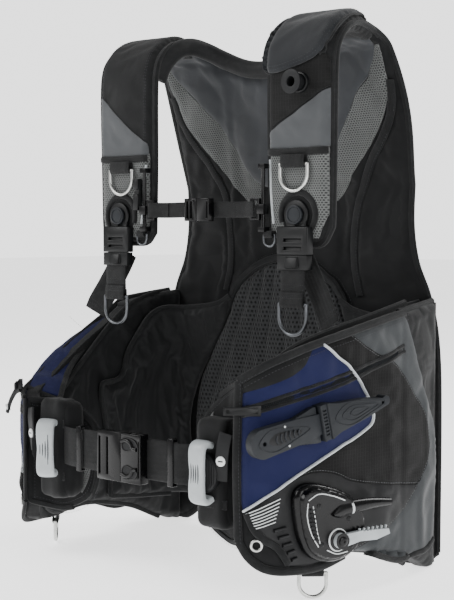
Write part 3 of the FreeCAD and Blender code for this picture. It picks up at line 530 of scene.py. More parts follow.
def fabric(name, color, kind, pitch, gap=0.55, rough=0.85, sheen=0.25, depth=0.25, gap_color=None, fuzz=0.12):
    """Cloth: threads over darker gaps, uneven dye, dust in the low places and wear at the edges."""
    look = Look(name, Sheen_Weight=sheen, Sheen_Roughness=0.5, Specular_IOR_Level=0.18)
    cloth = look.attribute("cloth", "Vector")
    u, v = look.axes(cloth)[:2]
    threads = weave_height(look, kind, u, v, pitch * MM)
    dark = tuple(c * gap for c in color[:3]) + (1.0,)
    base = look.mix(threads, gap_color or dark, color)
    cloud = look.noise(cloth, 22.0, 4.0, 0.6)
    pale = tuple(min(1.0, c * 1.5 + 0.012) for c in color[:3]) + (1.0,)
    base = look.mix(look.span(cloud, 0.45, 0.75, 0.0, 0.35), base, dark)
    lint = look.noise(cloth, 700.0, 2.0, 0.7)
    base = look.mix(look.span(lint, 0.62, 0.8, 0.0, fuzz * 3), base, pale)
    worn = look.math("MULTIPLY", look.span(look.attribute("edge", "Fac"), 0.0, 0.005, 1.0, 0.0),
                     look.span(look.noise(cloth, 120.0), 0.45, 0.7))
    base = look.mix(look.math("MULTIPLY", worn, 0.3), base, pale)
    look.set("Base Color", base)
    look.set("Roughness", look.span(cloud, 0.3, 0.7, rough - 0.1, min(1.0, rough + 0.1)))
    height = look.math("MULTIPLY_ADD", lint, 0.35, threads)
    look.bump(height, depth, 0.8)
    return look.material


def plastic(name, color, rough, grain=0.06, coat=0.0, worn=0.25):
    """Moulded plastic: a fine grain, dull handled patches, fine scratches and paler scuffs."""
    look = Look(name, Coat_Weight=coat, Coat_Roughness=0.12, IOR=1.42, Specular_IOR_Level=0.34)
    place = look.place()
    cloud = look.noise(place, 40.0, 4.0, 0.6)
    pale = tuple(min(1.0, c * 1.35 + 0.02) for c in color[:3]) + (1.0,)
    dark = tuple(c * 0.7 for c in color[:3]) + (1.0,)
    stretched = look.add("VectorMath", (place, (260.0, 900.0, 120.0)), operation="MULTIPLY").outputs[0]
    scratch = look.span(look.noise(stretched, 1.0, 2.0, 0.8), 0.66, 0.72)
    base = look.mix(look.span(cloud, 0.4, 0.7, 0.0, 0.5), color, dark)
    base = look.mix(look.math("MULTIPLY", scratch, worn), base, pale)
    look.set("Base Color", base)
    grains = look.noise(place, 2600.0, 2.0, 0.6)
    look.set("Roughness", look.span(cloud, 0.3, 0.7, max(0.05, rough - 0.07), rough + 0.1))
    look.bump(look.math("MULTIPLY_ADD", scratch, -0.5, grains), grain, 0.6)
    return look.material


def metal(name, color, rough):
    """Metal wire and rings: polishing lines, water marks and a duller tarnish."""
    look = Look(name, Metallic=1.0)
    place = look.place()
    cloud = look.noise(place, 90.0, 4.0, 0.6)
    dull = tuple(c * 0.6 for c in color[:3]) + (1.0,)
    look.set("Base Color", look.mix(look.span(cloud, 0.45, 0.75, 0.0, 0.6), color, dull))
    look.set("Roughness", look.span(cloud, 0.3, 0.7, rough, rough + 0.18))
    stretched = look.add("VectorMath", (place, (1500.0, 300.0, 300.0)), operation="MULTIPLY").outputs[0]
    look.bump(look.noise(stretched, 1.0, 3.0), 0.03, 0.5)
    return look.material


LOOKS = {
    "twill": fabric("black_twill", tint(17, 18, 19), "twill", 1.5, 0.5, sheen=0.1),
    "canvas": fabric("black_canvas", tint(14, 15, 16), "plain", 1.2, 0.5, sheen=0.1),
    "neoprene": fabric("black_neoprene", tint(14, 15, 16), "knit", 1.0, 0.8, 0.65, 0.08, 0.08, fuzz=0.05),
    "ripstop": fabric("black_ripstop", tint(20, 20, 20), "ripstop", 1.1, 0.4, sheen=0.05),
    "charcoal": fabric("charcoal_suede", tint(50, 52, 55), "knit", 0.8, 0.85, 0.9, 0.25, 0.06, fuzz=0.05),
    "gray": fabric("gray_suede", tint(64, 66, 68), "knit", 0.8, 0.88, 0.9, 0.25, 0.06, fuzz=0.05),
    "light_gray": fabric("light_gray_suede", tint(43, 46, 48), "knit", 0.8, 0.9, 0.9, 0.25, 0.06, fuzz=0.05),
    "flap_gray": fabric("flap_gray_canvas", tint(29, 31, 34), "plain", 1.3, 0.7, sheen=0.15),
    "navy": fabric("navy_nylon", tint(17, 23, 64), "twill", 1.1, 0.65, 0.8, 0.08, 0.15, fuzz=0.05),
    "air": fabric("air_mesh", tint(46, 47, 48), "air", 5.4, 0.5, sheen=0.1, gap_color=tint(3, 3, 3),
                  depth=1.0),
    "silver_net": fabric("silver_net", tint(90, 92, 91), "net", 3.6, 0.5, gap_color=tint(18, 18, 19),
                         depth=0.5),
    "binding": fabric("binding_tape", tint(17, 18, 19), "ribs", 1.0, 0.5, 0.8, 0.1, 0.2),
    "webbing": fabric("webbing", tint(14, 15, 16), "ribs", 1.9, 0.4, 0.7, 0.08, 0.45),
    "piping": fabric("reflective_piping", tint(178, 182, 184), "plain", 0.9, 0.8, 0.45, 0.0, 0.1),
    "thread": fabric("black_thread", tint(46, 47, 50), "knit", 0.6, 0.8, 0.6, 0.1, 0.1),
    "gray_thread": fabric("gray_thread", tint(96, 98, 100), "knit", 0.6, 0.8, 0.6, 0.1, 0.1),
    "print": fabric("pale_print", tint(196, 199, 199), "plain", 1.0, 0.9, 0.6, 0.0, 0.05),
    "gloss": plastic("gloss_black_plastic", tint(3, 3, 4), 0.27, 0.02),
    "matte": plastic("black_plastic", tint(10, 11, 12), 0.42),
    "slate": plastic("slate_gray_plastic", tint(24, 27, 31), 0.5),
    "pale": plastic("pale_plastic", tint(168, 173, 175), 0.35, 0.04, 0.1, 0.1),
    "rubber": plastic("rubber", tint(13, 14, 16), 0.55, 0.1),
    "rubber_skin": plastic("rubber_skin", tint(9, 10, 12), 0.52, 0.12),
    "white": plastic("white_plastic", tint(222, 224, 224), 0.4, 0.04, 0.0, 0.1),
    "steel": metal("steel", tint(196, 197, 194), 0.24),
    "dark_steel": metal("dark_steel", tint(92, 94, 97), 0.28),
}

# each CAD node that stays as it is, or is polished, and its look
NODE_LOOKS = {
    "gloss": ["waist_buckle_socket", "waist_buckle_plug", "waist_prong_upper", "waist_prong_lower",
              "chest_buckle_socket", "chest_buckle_plug", "chest_rails", "chest_slider_l", "chest_slider_r",
              "keeper_loops", "control_housing"],
    "matte": ["backplate", "inflator_socket", "zip_slider_l", "zip_slider_r", "whistle", "cam_buckle_base",
              "cam_lever", "dump_valve", "shoulder_socket_l", "shoulder_socket_r", "shoulder_plug_l",
              "shoulder_plug_r"],
    "rubber": ["carry_handle", "inflator_mouthpiece"],
    "slate": ["swivel_hubs", "knife", "knife_sheath"],
    "pale": ["weight_handle_l", "weight_handle_r", "control_lever"],
    "steel": ["shoulder_ring_l", "shoulder_ring_r", "hip_ring_l", "hip_ring_r", "drain_eyelets"],
    "dark_steel": ["tail_ring_l", "tail_ring_r", "chest_ring_l", "chest_ring_r"],
    "webbing": ["chest_webbing_l", "chest_webbing_r", "sewn_webbing", "tank_band", "tail_webbing_l",
                "tail_webbing_r", "ring_tabs"],
    "canvas": ["air_cell_back", "lumbar_pads", "shoulder_straps", "weight_sleeves", "weight_pouch_l",
               "weight_pouch_r", "air_cell_wings", "air_bladder", "back_pad"],
    "charcoal": ["yoke_panel", "shoulder_flap"],
    "neoprene": ["neck_roll"],
    "navy": ["cargo_pockets"],
}
for look_name, node_names in NODE_LOOKS.items():
    for node_name in node_names:
        mesh = frame["nodes"][node_name].data
        mesh.materials.clear()
        mesh.materials.append(LOOKS[look_name])


# ---------------------------------------------------------------- cloth and polish

def coordinates(o):
    flat = np.zeros(len(o.data.vertices) * 3)
    o.data.vertices.foreach_get("co", flat)
    return flat.reshape(-1, 3)


def apply_modifiers(o):
    """Replaces a piece's mesh with what its modifiers make of it."""
    depsgraph = bpy.context.evaluated_depsgraph_get()
    mesh = bpy.data.meshes.new_from_object(o.evaluated_get(depsgraph), preserve_all_data_layers=True,
                                           depsgraph=depsgraph)
    o.modifiers.clear()
    o.data = mesh
    return o


def subdivided(o):
    fine = o.modifiers.new("fine", "SUBSURF")
    fine.levels = fine.render_levels = 1
    fine.use_limit_surface = False
    return apply_modifiers(o)


def inflate(o, pressure=3.0, excess=0.02, cap=8.0, rim=4.0, seams=(), hold=None):
    """Fills a panel as cloth that is cut a little too large, then subdivides it once.

    Its rim, its sewn seams (lines in its own u, v) and what hold picks stay where they are, and
    no point moves further than cap.
    """
    rest = coordinates(o)
    count = len(rest)
    uv = np.zeros(count * 3)
    o.data.attributes["cloth"].data.foreach_get("vector", uv)
    uv = uv.reshape(-1, 3)[:, :2] / MM
    uv[count // 2:] -= REAR_SHIFT
    edge = np.zeros(count)
    o.data.attributes["edge"].data.foreach_get("value", edge)
    held = edge < rim * MM
    for seam in seams:
        held |= distance_to(uv, seam, False) < 5.0
    if hold is not None:
        held |= hold(uv, np.arange(count) >= count // 2)
    group = o.vertex_groups.new(name="held")
    group.add([int(i) for i in np.nonzero(held)[0]], 1.0, "REPLACE")
    cloth = o.modifiers.new("cloth", "CLOTH")
    settings = cloth.settings
    settings.quality = 5
    settings.mass = 0.2
    settings.bending_stiffness = 0.4
    settings.use_pressure = True
    settings.uniform_pressure_force = pressure
    settings.vertex_group_mass = "held"
    settings.shrink_min = -excess
    settings.effector_weights.gravity = 0.0
    cloth.collision_settings.use_collision = False
    cloth.point_cache.frame_start, cloth.point_cache.frame_end = 1, CLOTH_FRAMES
    scene = bpy.context.scene
    for moment in range(1, CLOTH_FRAMES + 1):
        scene.frame_set(moment)
    swollen = o.evaluated_get(bpy.context.evaluated_depsgraph_get()).to_mesh()
    moved = np.zeros(count * 3)
    swollen.vertices.foreach_get("co", moved)
    moved = moved.reshape(-1, 3) - rest
    size = np.linalg.norm(moved, axis=1, keepdims=True)
    moved *= np.minimum(1.0, cap * MM / np.maximum(size, 1e-9))
    o.modifiers.clear()
    o.vertex_groups.clear()
    scene.frame_set(1)
    o.data.vertices.foreach_set("co", (rest + moved).ravel())
    o.data.update()
    return subdivided(o)


def polished(node, look_and_slot, bevel, segments=2):
    """A copy of a CAD node with rounded edges, which stands for it."""
    look, slot = look_and_slot
    source = frame["nodes"][node]
    o = bpy.data.objects.new(f"{node}_shell", source.data.copy())
    bpy.context.scene.collection.objects.link(o)
    o.data.materials.clear()
    o.data.materials.append(LOOKS[look])
    b = bmesh.new()
    b.from_mesh(o.data)
    bmesh.ops.remove_doubles(b, verts=b.verts, dist=0.00002)
    bmesh.ops.dissolve_limit(b, angle_limit=math.radians(2), verts=b.verts, edges=b.edges)
    b.to_mesh(o.data)
    b.free()
    round_off = o.modifiers.new("round", "BEVEL")
    round_off.width = bevel * MM
    round_off.segments = segments
    round_off.limit_method = "ANGLE"
    round_off.angle_limit = math.radians(35)
    round_off.use_clamp_overlap = True
    apply_modifiers(o)
    o.data.polygons.foreach_set("use_smooth", [True] * len(o.data.polygons))
    o.data.set_sharp_from_angle(angle=math.radians(40))
    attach(o, source["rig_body"])
    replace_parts(o, node)
    return o


# a look and the material slot that it stands for
FABRIC = ("canvas", "black_fabric")
TWILL = ("twill", "black_fabric")
RIPSTOP = ("ripstop", "black_fabric")
NEOPRENE = ("neoprene", "neoprene")
CHARCOAL = ("charcoal", "gray_fabric")
GRAY = ("gray", "light_gray_fabric")
LIGHT_GRAY = ("light_gray", "light_gray_fabric")
FLAP_GRAY = ("flap_gray", "gray_fabric")
NAVY = ("navy", "navy_fabric")
NET = ("silver_net", "silver_mesh")
AIR = ("air", "air_mesh")
BINDING = ("binding", "webbing")
WEBBING = ("webbing", "webbing")
PIPING = ("piping", "piping")
THREAD = ("thread", "black_fabric")
GRAY_THREAD = ("gray_thread", "gray_fabric")
GLOSS = ("gloss", "gloss_black_plastic")
MATTE = ("matte", "black_plastic")
SLATE = ("slate", "gray_plastic")
ZIP_TEETH = ("slate", "black_plastic")
PALE = ("pale", "pale_plastic")
WHITE = ("white", "pale_plastic")
RUBBER = ("rubber", "rubber")
RUBBER_SKIN = ("rubber_skin", "rubber")
PRINT = ("print", "piping")
STEEL = ("steel", "steel")


# ---------------------------------------------------------------- back, yoke and neck

BACK_LINE = [(-232, 341), (-212, 340), (-190, 333), (-172, 318), (-142, 246), (-118, 150), (-118, 150),
             (-118, -345)]


def mirrored(middle, points, step):
    """An outline from a point on the middle, down the left side and back up the right side."""
    return smooth(points + [(-x, z) for x, z in reversed(points)] + [middle], step, closed=True)


def flipped(side, points, step=4.0, closed=False):
    """A smooth line drawn on the left side, or its mirror image on the right."""
    return smooth([(side * x, z) for x, z in points], step, closed)


def make_back():
    """The air cell's back, with the yoke above it in one padded shell, and what is sewn on it."""
    surface = Surface("drape", BACK_LINE, (-1, 0), keys=height_up)
    side = [(0, 305), (40, 308), (88, 326), (104, 380), (104, 380), (150, 386), (190, 380), (190, 380),
            (197, 330), (203, 270), (203, 222), (197, 150), (196, 96), (204, 50), (222, 8), (234, -40),
            (239, -112), (239, -322), (239, -322), (216, -337), (190, -326), (172, -303), (150, -300),
            (0, -309)]
    outline = mirrored(side[0], side[1:-1], 6)
    seam = [(191, 282), (186, 250), (168, 216), (144, 184), (124, 146), (112, 100), (111, 47), (120, 5)]
    seams = {way: flipped(way, seam) for way in (LEFT, RIGHT)}
    shell = panel("back_shell", surface, outline, FABRIC, step=8, lift=-6, depth=2,
                  front=relief(puff(6, 26), folds(11, 70, 80, 2.2), groove(list(seams.values()), 2.5, 7)),
                  back=lambda uv, d: -puff(8, 30)(uv, d))
    inflate(shell, 2.5, 0.02, 6, seams=seams.values())
    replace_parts(shell, "air_cell_back")
    surface.cover(shell)

    def rim_binding(name, part, way):
        middle, out = surface.bare(flipped(way, part))
        sweep(f"{name}_binding_{LETTER[way]}", middle - out * 7, out, tape_profile(9, 6, 0.6), BINDING)

    yoke = [(0, 304), (40, 307), (88, 326), (104, 366), (104, 366), (150, 370), (184, 362), (184, 362),
            (180, 320), (162, 291), (140, 272), (107, 226), (79, 184), (52, 155), (30, 150)]
    gray = panel("yoke_gray", surface, mirrored(yoke[0], yoke[1:], 5), CHARCOAL, step=5, lift=1.4, depth=2.6,
                 front=relief(puff(1.6, 7), folds(5, 42, 28, 3.2), folds(8, 60, -40, 2.0)))
    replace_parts(subdivided(gray), "yoke_panel")
    for way in (LEFT, RIGHT):
        letter = LETTER[way]
        band = corners([(184, 330)]) + [(162, 290), (139, 270), (106, 224), (78, 183)]
        band += corners([(50, 153), (50, 126)]) + [(78, 130), (122, 178), (163, 226), (184, 266)]
        band += corners([(190, 330)])
        panel(f"yoke_net_{letter}", surface, flipped(way, band, 5, True), NET, step=6, lift=0.9, depth=2.4,
              front=relief(puff(0.8, 5), folds(20 + way, 40, 45, 1.2)))
        tape(f"back_seam_tape_{letter}", surface, seams[way], 12, 2.4, BINDING, crown=1.0, lift=1.6)
        rim_binding("arm_hole", side[7:18], way)
        rows = [offset_line(seams[way], by, False) for by in (-4.4, 4.4)]
        stitches(f"back_stitches_{letter}", surface, rows, THREAD, lift=2.9)
        rim_binding("back_hem", side[18:24], way)
    return surface


def make_pad(surface):
    """The open-mesh back pad with its sewn channels and rolled rim."""
    side = [(0, 50), (40, 42), (74, 22), (92, 2), (101, -20), (114, -45), (138, -85), (158, -125),
            (168, -170), (170, -230), (160, -290)]
    outline = mirrored(side[0], side[1:], 5)
    channels = [smooth([(k * 14, 60), (k * 17, 20), (k * 26, -60), (k * 38, -160), (k * 40, -300)], 4)
                for k in (-3.6, -2.4, -1.2, 0, 1.2, 2.4, 3.6)]
    pad = panel("mesh_pad", surface, outline, AIR, step=5, lift=3.5, depth=5.5,
                front=relief(puff(7, 16), groove(channels, 4.2, 6.0), folds(31, 50, 85, 1.2)))
    inflate(pad, 2.0, 0.01, 4, seams=channels, hold=lambda uv, rear: rear)
    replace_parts(pad, "back_pad")
    arch = smooth([(-x, z) for x, z in reversed(side[1:6])] + side[:6], 4)
    tape("pad_rim", surface, offset_line(arch, 4, False), 11, 7, NEOPRENE, lift=5.5, crown=2.0)
    stitches("pad_stitches", surface, [offset_line(arch, 12, False)], THREAD, lift=2.2)


def make_collar():
    """The padded roll round the neck opening, which runs on down the straps' inner edges."""
    half = [(103, -272, 292), (102, -262, 314), (99, -240, 335), (95, -216, 341), (86, -196, 336),
            (66, -182, 324), (34, -174, 311)]
    path = smooth([(-x, y, z) for x, y, z in half] + [(0, -172, 307)] + half[::-1], 5)
    along = lengths(path) / lengths(path)[-1]
    out = np.tile([0.0, -0.5, 0.9], (len(path), 1))
    taper = 0.45 + 0.55 * np.clip(np.minimum(along, 1 - along) * 7, 0, 1)
    dice = np.random.default_rng(3)
    wobble = np.interp(along, np.linspace(0, 1, 26), dice.uniform(0.93, 1.05, 26))
    roll = sweep("neck_collar", path, out, round_profile(12.2, 16), NEOPRENE, taper=taper * wobble)
    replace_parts(subdivided(roll), "neck_roll")


# ---------------------------------------------------------------- shoulder straps

STRAP_LINE = [(-292, 75), (-292, 75), (-292, 180), (-292, 285), (-287, 316), (-273, 337), (-251, 352),
              (-225, 357), (-200, 354), (-181, 348), (-164, 335), (-150, 318)]


def strap_outline(side):
    """The strap laid flat: x across and the length up from its lower end."""
    points = [(104, 14), (118, 1), (182, 1), (198, 22), (198, 22), (200, 120), (201, 250), (196, 330),
              (190, 374), (190, 374), (112, 374), (112, 374), (105, 330), (102, 250), (102, 120), (104, 14)]
    return flipped(side, points, 5, True)


def make_strap(side):
    """One padded strap: a twill shell, with its patches, bindings, piping and stitching."""
    letter = LETTER[side]
    surface = Surface("drape", STRAP_LINE, (0, 1))
    outline = strap_outline(side)
    shell = panel(f"strap_{letter}", surface, outline, TWILL, step=6, lift=-11, depth=2,
                  front=relief(puff(9.5, 11), folds(40 + side, 60, 0, 1.0)),
                  back=lambda uv, d: -puff(8.5, 14)(uv, d))
    inflate(shell, 2.5, 0.01, 3, hold=lambda uv, rear: (uv[:, 1] < 130) & ~rear)
    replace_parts(shell, "shoulder_straps")
    surface.cover(shell)

    def on_strap(points, step, closed=False):
        """Places given as (x, z), carried onto the strap, whose lower end is at STRAP_LOW."""
        return smooth([(side * x, z - STRAP_LOW) for x, z in points], step, closed)

    def laid(name, points, look, seed, lift=0.9, cornered=True):
        shape = on_strap(corners(points) if cornered else points, 4, True)
        return panel(f"{name}_{letter}", surface, shape, look, step=4, lift=lift, depth=2.6,
                     front=relief(puff(0.8, 4), folds(seed, 30, 20, 0.5)))

    net = [(106, 194), (197, 194), (197, 112), (184, 82), (118, 82), (107, 98)]
    laid("strap_net", net, NET, 50)
    if side == LEFT:
        laid("strap_panel", [(107, 192), (198, 192), (199, 262), (158, 239), (107, 212)], GRAY, 51, 1.6)
        top = [(108, 216), (158, 242), (199, 265), (198, 300), (150, 330), (108, 330)]
        laid("strap_top", top, RIPSTOP, 52)
    else:
        low = [(107, 192), (198, 192), (199, 277), (160, 246), (134, 225), (107, 207)]
        laid("strap_panel", low, GRAY, 51, 1.6)
    tape(f"ring_bar_{letter}", surface, on_strap([(107, 188), (150, 187), (197, 188)], 4), 9, 2.6, WEBBING,
         lift=3.2, crown=0.8)
    dark = [(SWIVEL_X + 27 * math.cos(t), SWIVEL_Z + 27 * math.sin(t)) for t in np.linspace(-1.2, 3.5, 14)]
    laid("swivel_patch", dark + [(140, 80), (176, 80)], FABRIC, 54, 1.5, False)
    tape(f"swivel_crescent_{letter}", surface, on_strap(dark, 3), 8, 2.6, BINDING, crown=1.2, lift=2.4)
    inner_edge = on_strap([(109, 179), (111, 150), (113, 120), (116, 100)], 3)
    tape(f"strap_piping_{letter}", surface, inner_edge, 3.2, 2.4, PIPING, crown=0.8, lift=1.6)
    middle, out = surface.bare(evenly(looped(outline), 5)[:-1])
    sweep(f"strap_binding_{letter}", middle - out * 11.5, out, tape_profile(10, 6.5, 0.8), BINDING,
          closed=True)
    rows = [offset_line(outline, side * by) for by in (8.5, 11.0)]
    stitches(f"strap_stitches_{letter}", surface, [looped(r) for r in rows], THREAD)
    return surface


def make_flap(surface):
    """The flap over the left shoulder that covers the mouthpiece's hose, with its double seam."""
    shape = [(101, 214), (118, 209), (146, 213), (178, 222), (192, 232), (192, 232), (198, 262), (196, 300),
             (186, 345), (186, 345), (112, 345), (112, 345), (103, 300), (100, 262), (99, 228)]
    outline = smooth(shape, 4, closed=True)
    flap = panel("shoulder_flap_cover", surface, outline, FLAP_GRAY, step=5, lift=5.2, depth=2.2,
                 front=relief(puff(1.6, 6), folds(61, 55, 25, 2.0)))
    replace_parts(subdivided(flap), "shoulder_flap")
    surface.cover(flap)
    for index, by in enumerate((3.5, 7.5)):
        row = offset_line(outline, by)
        stitches(f"flap_stitches_{index}", surface, [looped(row)], THREAD)
    tape("flap_edge", surface, looped(outline), 4.5, 2.6, BINDING, lift=-0.9, closed=True)


# ---------------------------------------------------------------- waist wings and pockets

FLANK_LINE = [(238, -95), (242, -119), (250, -205), (243, -310), (226, -388), (208, -424), (184, -440)]
BELT_LINE = [(0, -129), (75, -129), (140, -131), (175, -144), (195, -170), (204, -205), (206, -250),
             (203, -290), (196, -330), (184, -365), (165, -395)]


def flank_surface(side):
    return Surface("wall", FLANK_LINE, (1, 0), side)


def edge_binding(name, surface, line, height, width=10, thick=5.5):
    """A binding wrapped round the thin edge of a padded piece."""
    places, out = surface.bare(evenly(line, 5))
    return sweep(name, places + out * height, out, tape_profile(width, thick, 0.7), BINDING)


def make_wing(side):
    """The air cell's wing: its lining inside the pocket, and its rear part at full thickness."""
    letter = LETTER[side]
    surface = flank_surface(side)
    if side == LEFT:
        top = [(20, 4), (60, 0), (112, -8), (160, -17), (212, -27), (262, -40), (293, -54), (318, -74),
               (336, -100)]
    else:
        top = [(20, 4), (60, 0), (112, -14), (150, -36), (212, -84), (262, -120), (293, -140), (318, -152),
               (336, -160)]
    low = [(336, -268), (293, -287), (212, -288), (160, -296), (112, -308), (60, -330), (20, -340)]
    outline = smooth(top[:1] + top + low + low[-1:], 6, closed=True)
    lining = panel(f"wing_{letter}", surface, outline, NEOPRENE, step=7, lift=-26, depth=3,
                   front=lambda uv, d: np.zeros(len(uv)),
                   back=lambda uv, d: -puff(9, 26)(uv, d) - folds(70 + side, 75, 70, 3.0)(uv, d))
    inflate(lining, 2.5, 0.03, 7, hold=lambda uv, rear: ~rear)
    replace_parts(lining, "air_cell_wings")
    edge_binding(f"wing_binding_{letter}", surface, smooth(top[1:], 5), -28)
    edge_binding(f"wing_hem_{letter}", surface, smooth(low[:-1], 5), -28)

    rear = [(22, 2), (22, 2), (60, -2), (112, -10), (112, -10), (122, -12), (122, -12), (122, -304),
            (122, -304), (112, -306), (60, -327), (40, -338), (22, -338), (22, -338)]
    cell = panel(f"wing_rear_{letter}", surface, smooth(rear, 6, closed=True), NEOPRENE, step=6, lift=-5,
                 depth=20, front=relief(puff(5, 16), folds(80 + side, 90, 80, 1.5)))
    inflate(cell, 2.5, 0.01, 4, hold=lambda uv, rear_face: rear_face | (uv[:, 0] > 100))
    rear_edge = smooth([(24, 0), (24, -60), (24, -200), (24, -334)], 6)
    edge_binding(f"wing_rear_edge_{letter}", surface, rear_edge, -7)
    edge_binding(f"wing_rear_top_{letter}", surface, smooth([(24, 1), (60, -3), (112, -9)], 5), -8)
    return cell


def make_belt_pad(side):
    """The lumbar cushion, which wraps from the back pad onto the wing and creases where it bends."""
    letter = LETTER[side]
    surface = Surface("wall", BELT_LINE, (1, 0.2), side)
    outline = smooth([(98, -2), (98, -2), (122, -14), (172, -21), (216, -22), (238, -32), (256, -52),
                      (280, -82), (290, -110), (300, -119), (334, -122), (334, -122), (336, -136),
                      (328, -170), (320, -230), (316, -282), (316, -282), (250, -289), (160, -292),
                      (160, -292), (168, -240), (172, -190), (166, -150), (152, -112), (128, -70),
                      (108, -36)], 5, closed=True)
    creases = [smooth(points, 5) for points in (
        [(176, -76), (196, -130), (204, -190), (206, -250)],
        [(200, -70), (222, -120), (232, -180), (232, -240)],
        [(228, -84), (250, -128), (262, -180), (264, -236)],
        [(256, -106), (276, -146), (288, -190), (290, -230)],
        [(188, -100), (186, -160), (190, -240)])]

    def fan(uv, d):
        near = np.min([distance_to(uv, line, False) for line in creases], axis=0)
        return 3.4 * np.exp(-(near / 7)**2)
    pad = panel(f"lumbar_belt_{letter}", surface, outline, NEOPRENE, step=5, lift=5, depth=11,
                back=lambda uv, d: -puff(5, 14)(uv, d) + fan(uv, d) - folds(90 + side, 32, 75, 3.2)(uv, d))
    inflate(pad, 2.0, 0.03, 4, hold=lambda uv, rear: ~rear)
    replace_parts(pad, "lumbar_pads")
    rim = looped(outline)
    edge_binding(f"lumbar_binding_{letter}", surface, rim[:int(len(rim) * 0.62)], -6, 9, 5)
    return pad


POCKET_TOPS = {
    LEFT: [(108, -8), (160, -17), (211, -27), (262, -38), (300, -49), (330, -60), (362, -78)],
    RIGHT: [(108, -10), (141, -30), (211, -66), (262, -94), (300, -112), (330, -121), (362, -128)],
}
POCKET_LOW = [(362, -262), (350, -280), (330, -293), (300, -298), (256, -298), (220, -290), (164, -296),
              (108, -306)]
PIPING_TOP = [(254, -39), (236, -53), (219, -65), (207, -76), (197, -87)]
PIPING_LOW = [(197, -87), (187, -99), (178, -112), (173, -128), (175, -137), (184, -143), (210, -154),
              (226, -159), (300, -192), (356, -226)]
GRAY_FRONT = [(211, -28), (190, -42), (166, -54), (125, -72), (91, -105), (68, -125), (54, -147), (47, -168),
              (50, -190), (71, -214), (112, -252), (164, -274), (205, -288)]
ZIP_LINES = {
    LEFT: [(359, -114), (310, -100), (258, -89), (180, -70), (112, -52)],
    RIGHT: [(361, -146), (310, -134), (258, -114), (180, -84), (112, -56)],
}


def make_pocket(side):
    """A cargo pocket's padded shell, held flat where something is fastened to it."""
    letter = LETTER[side]
    surface = flank_surface(side)
    top = POCKET_TOPS[side]
    outline = smooth(top[:1] + top + top[-1:] + POCKET_LOW + POCKET_LOW[-1:], 5, closed=True)
    fastened = [(330, 150, -200, -90), (302, 196, -300, -192)] if side == LEFT else []

    def hold(uv, rear):
        flat = rear.copy()
        for far, near, low, high in fastened:
            flat |= (uv[:, 0] < far) & (uv[:, 0] > near) & (uv[:, 1] > low) & (uv[:, 1] < high)
        return flat | (uv[:, 0] < 125)
    shell = panel(f"pocket_{letter}", surface, outline, FABRIC, step=6, lift=-4.5, depth=17,
                  front=relief(puff(4.0, 14), folds(100 + side, 80, 15, 1.6)))
    inflate(shell, 2.5, 0.015, 4, hold=hold)
    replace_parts(shell, "cargo_pockets")
    return shell


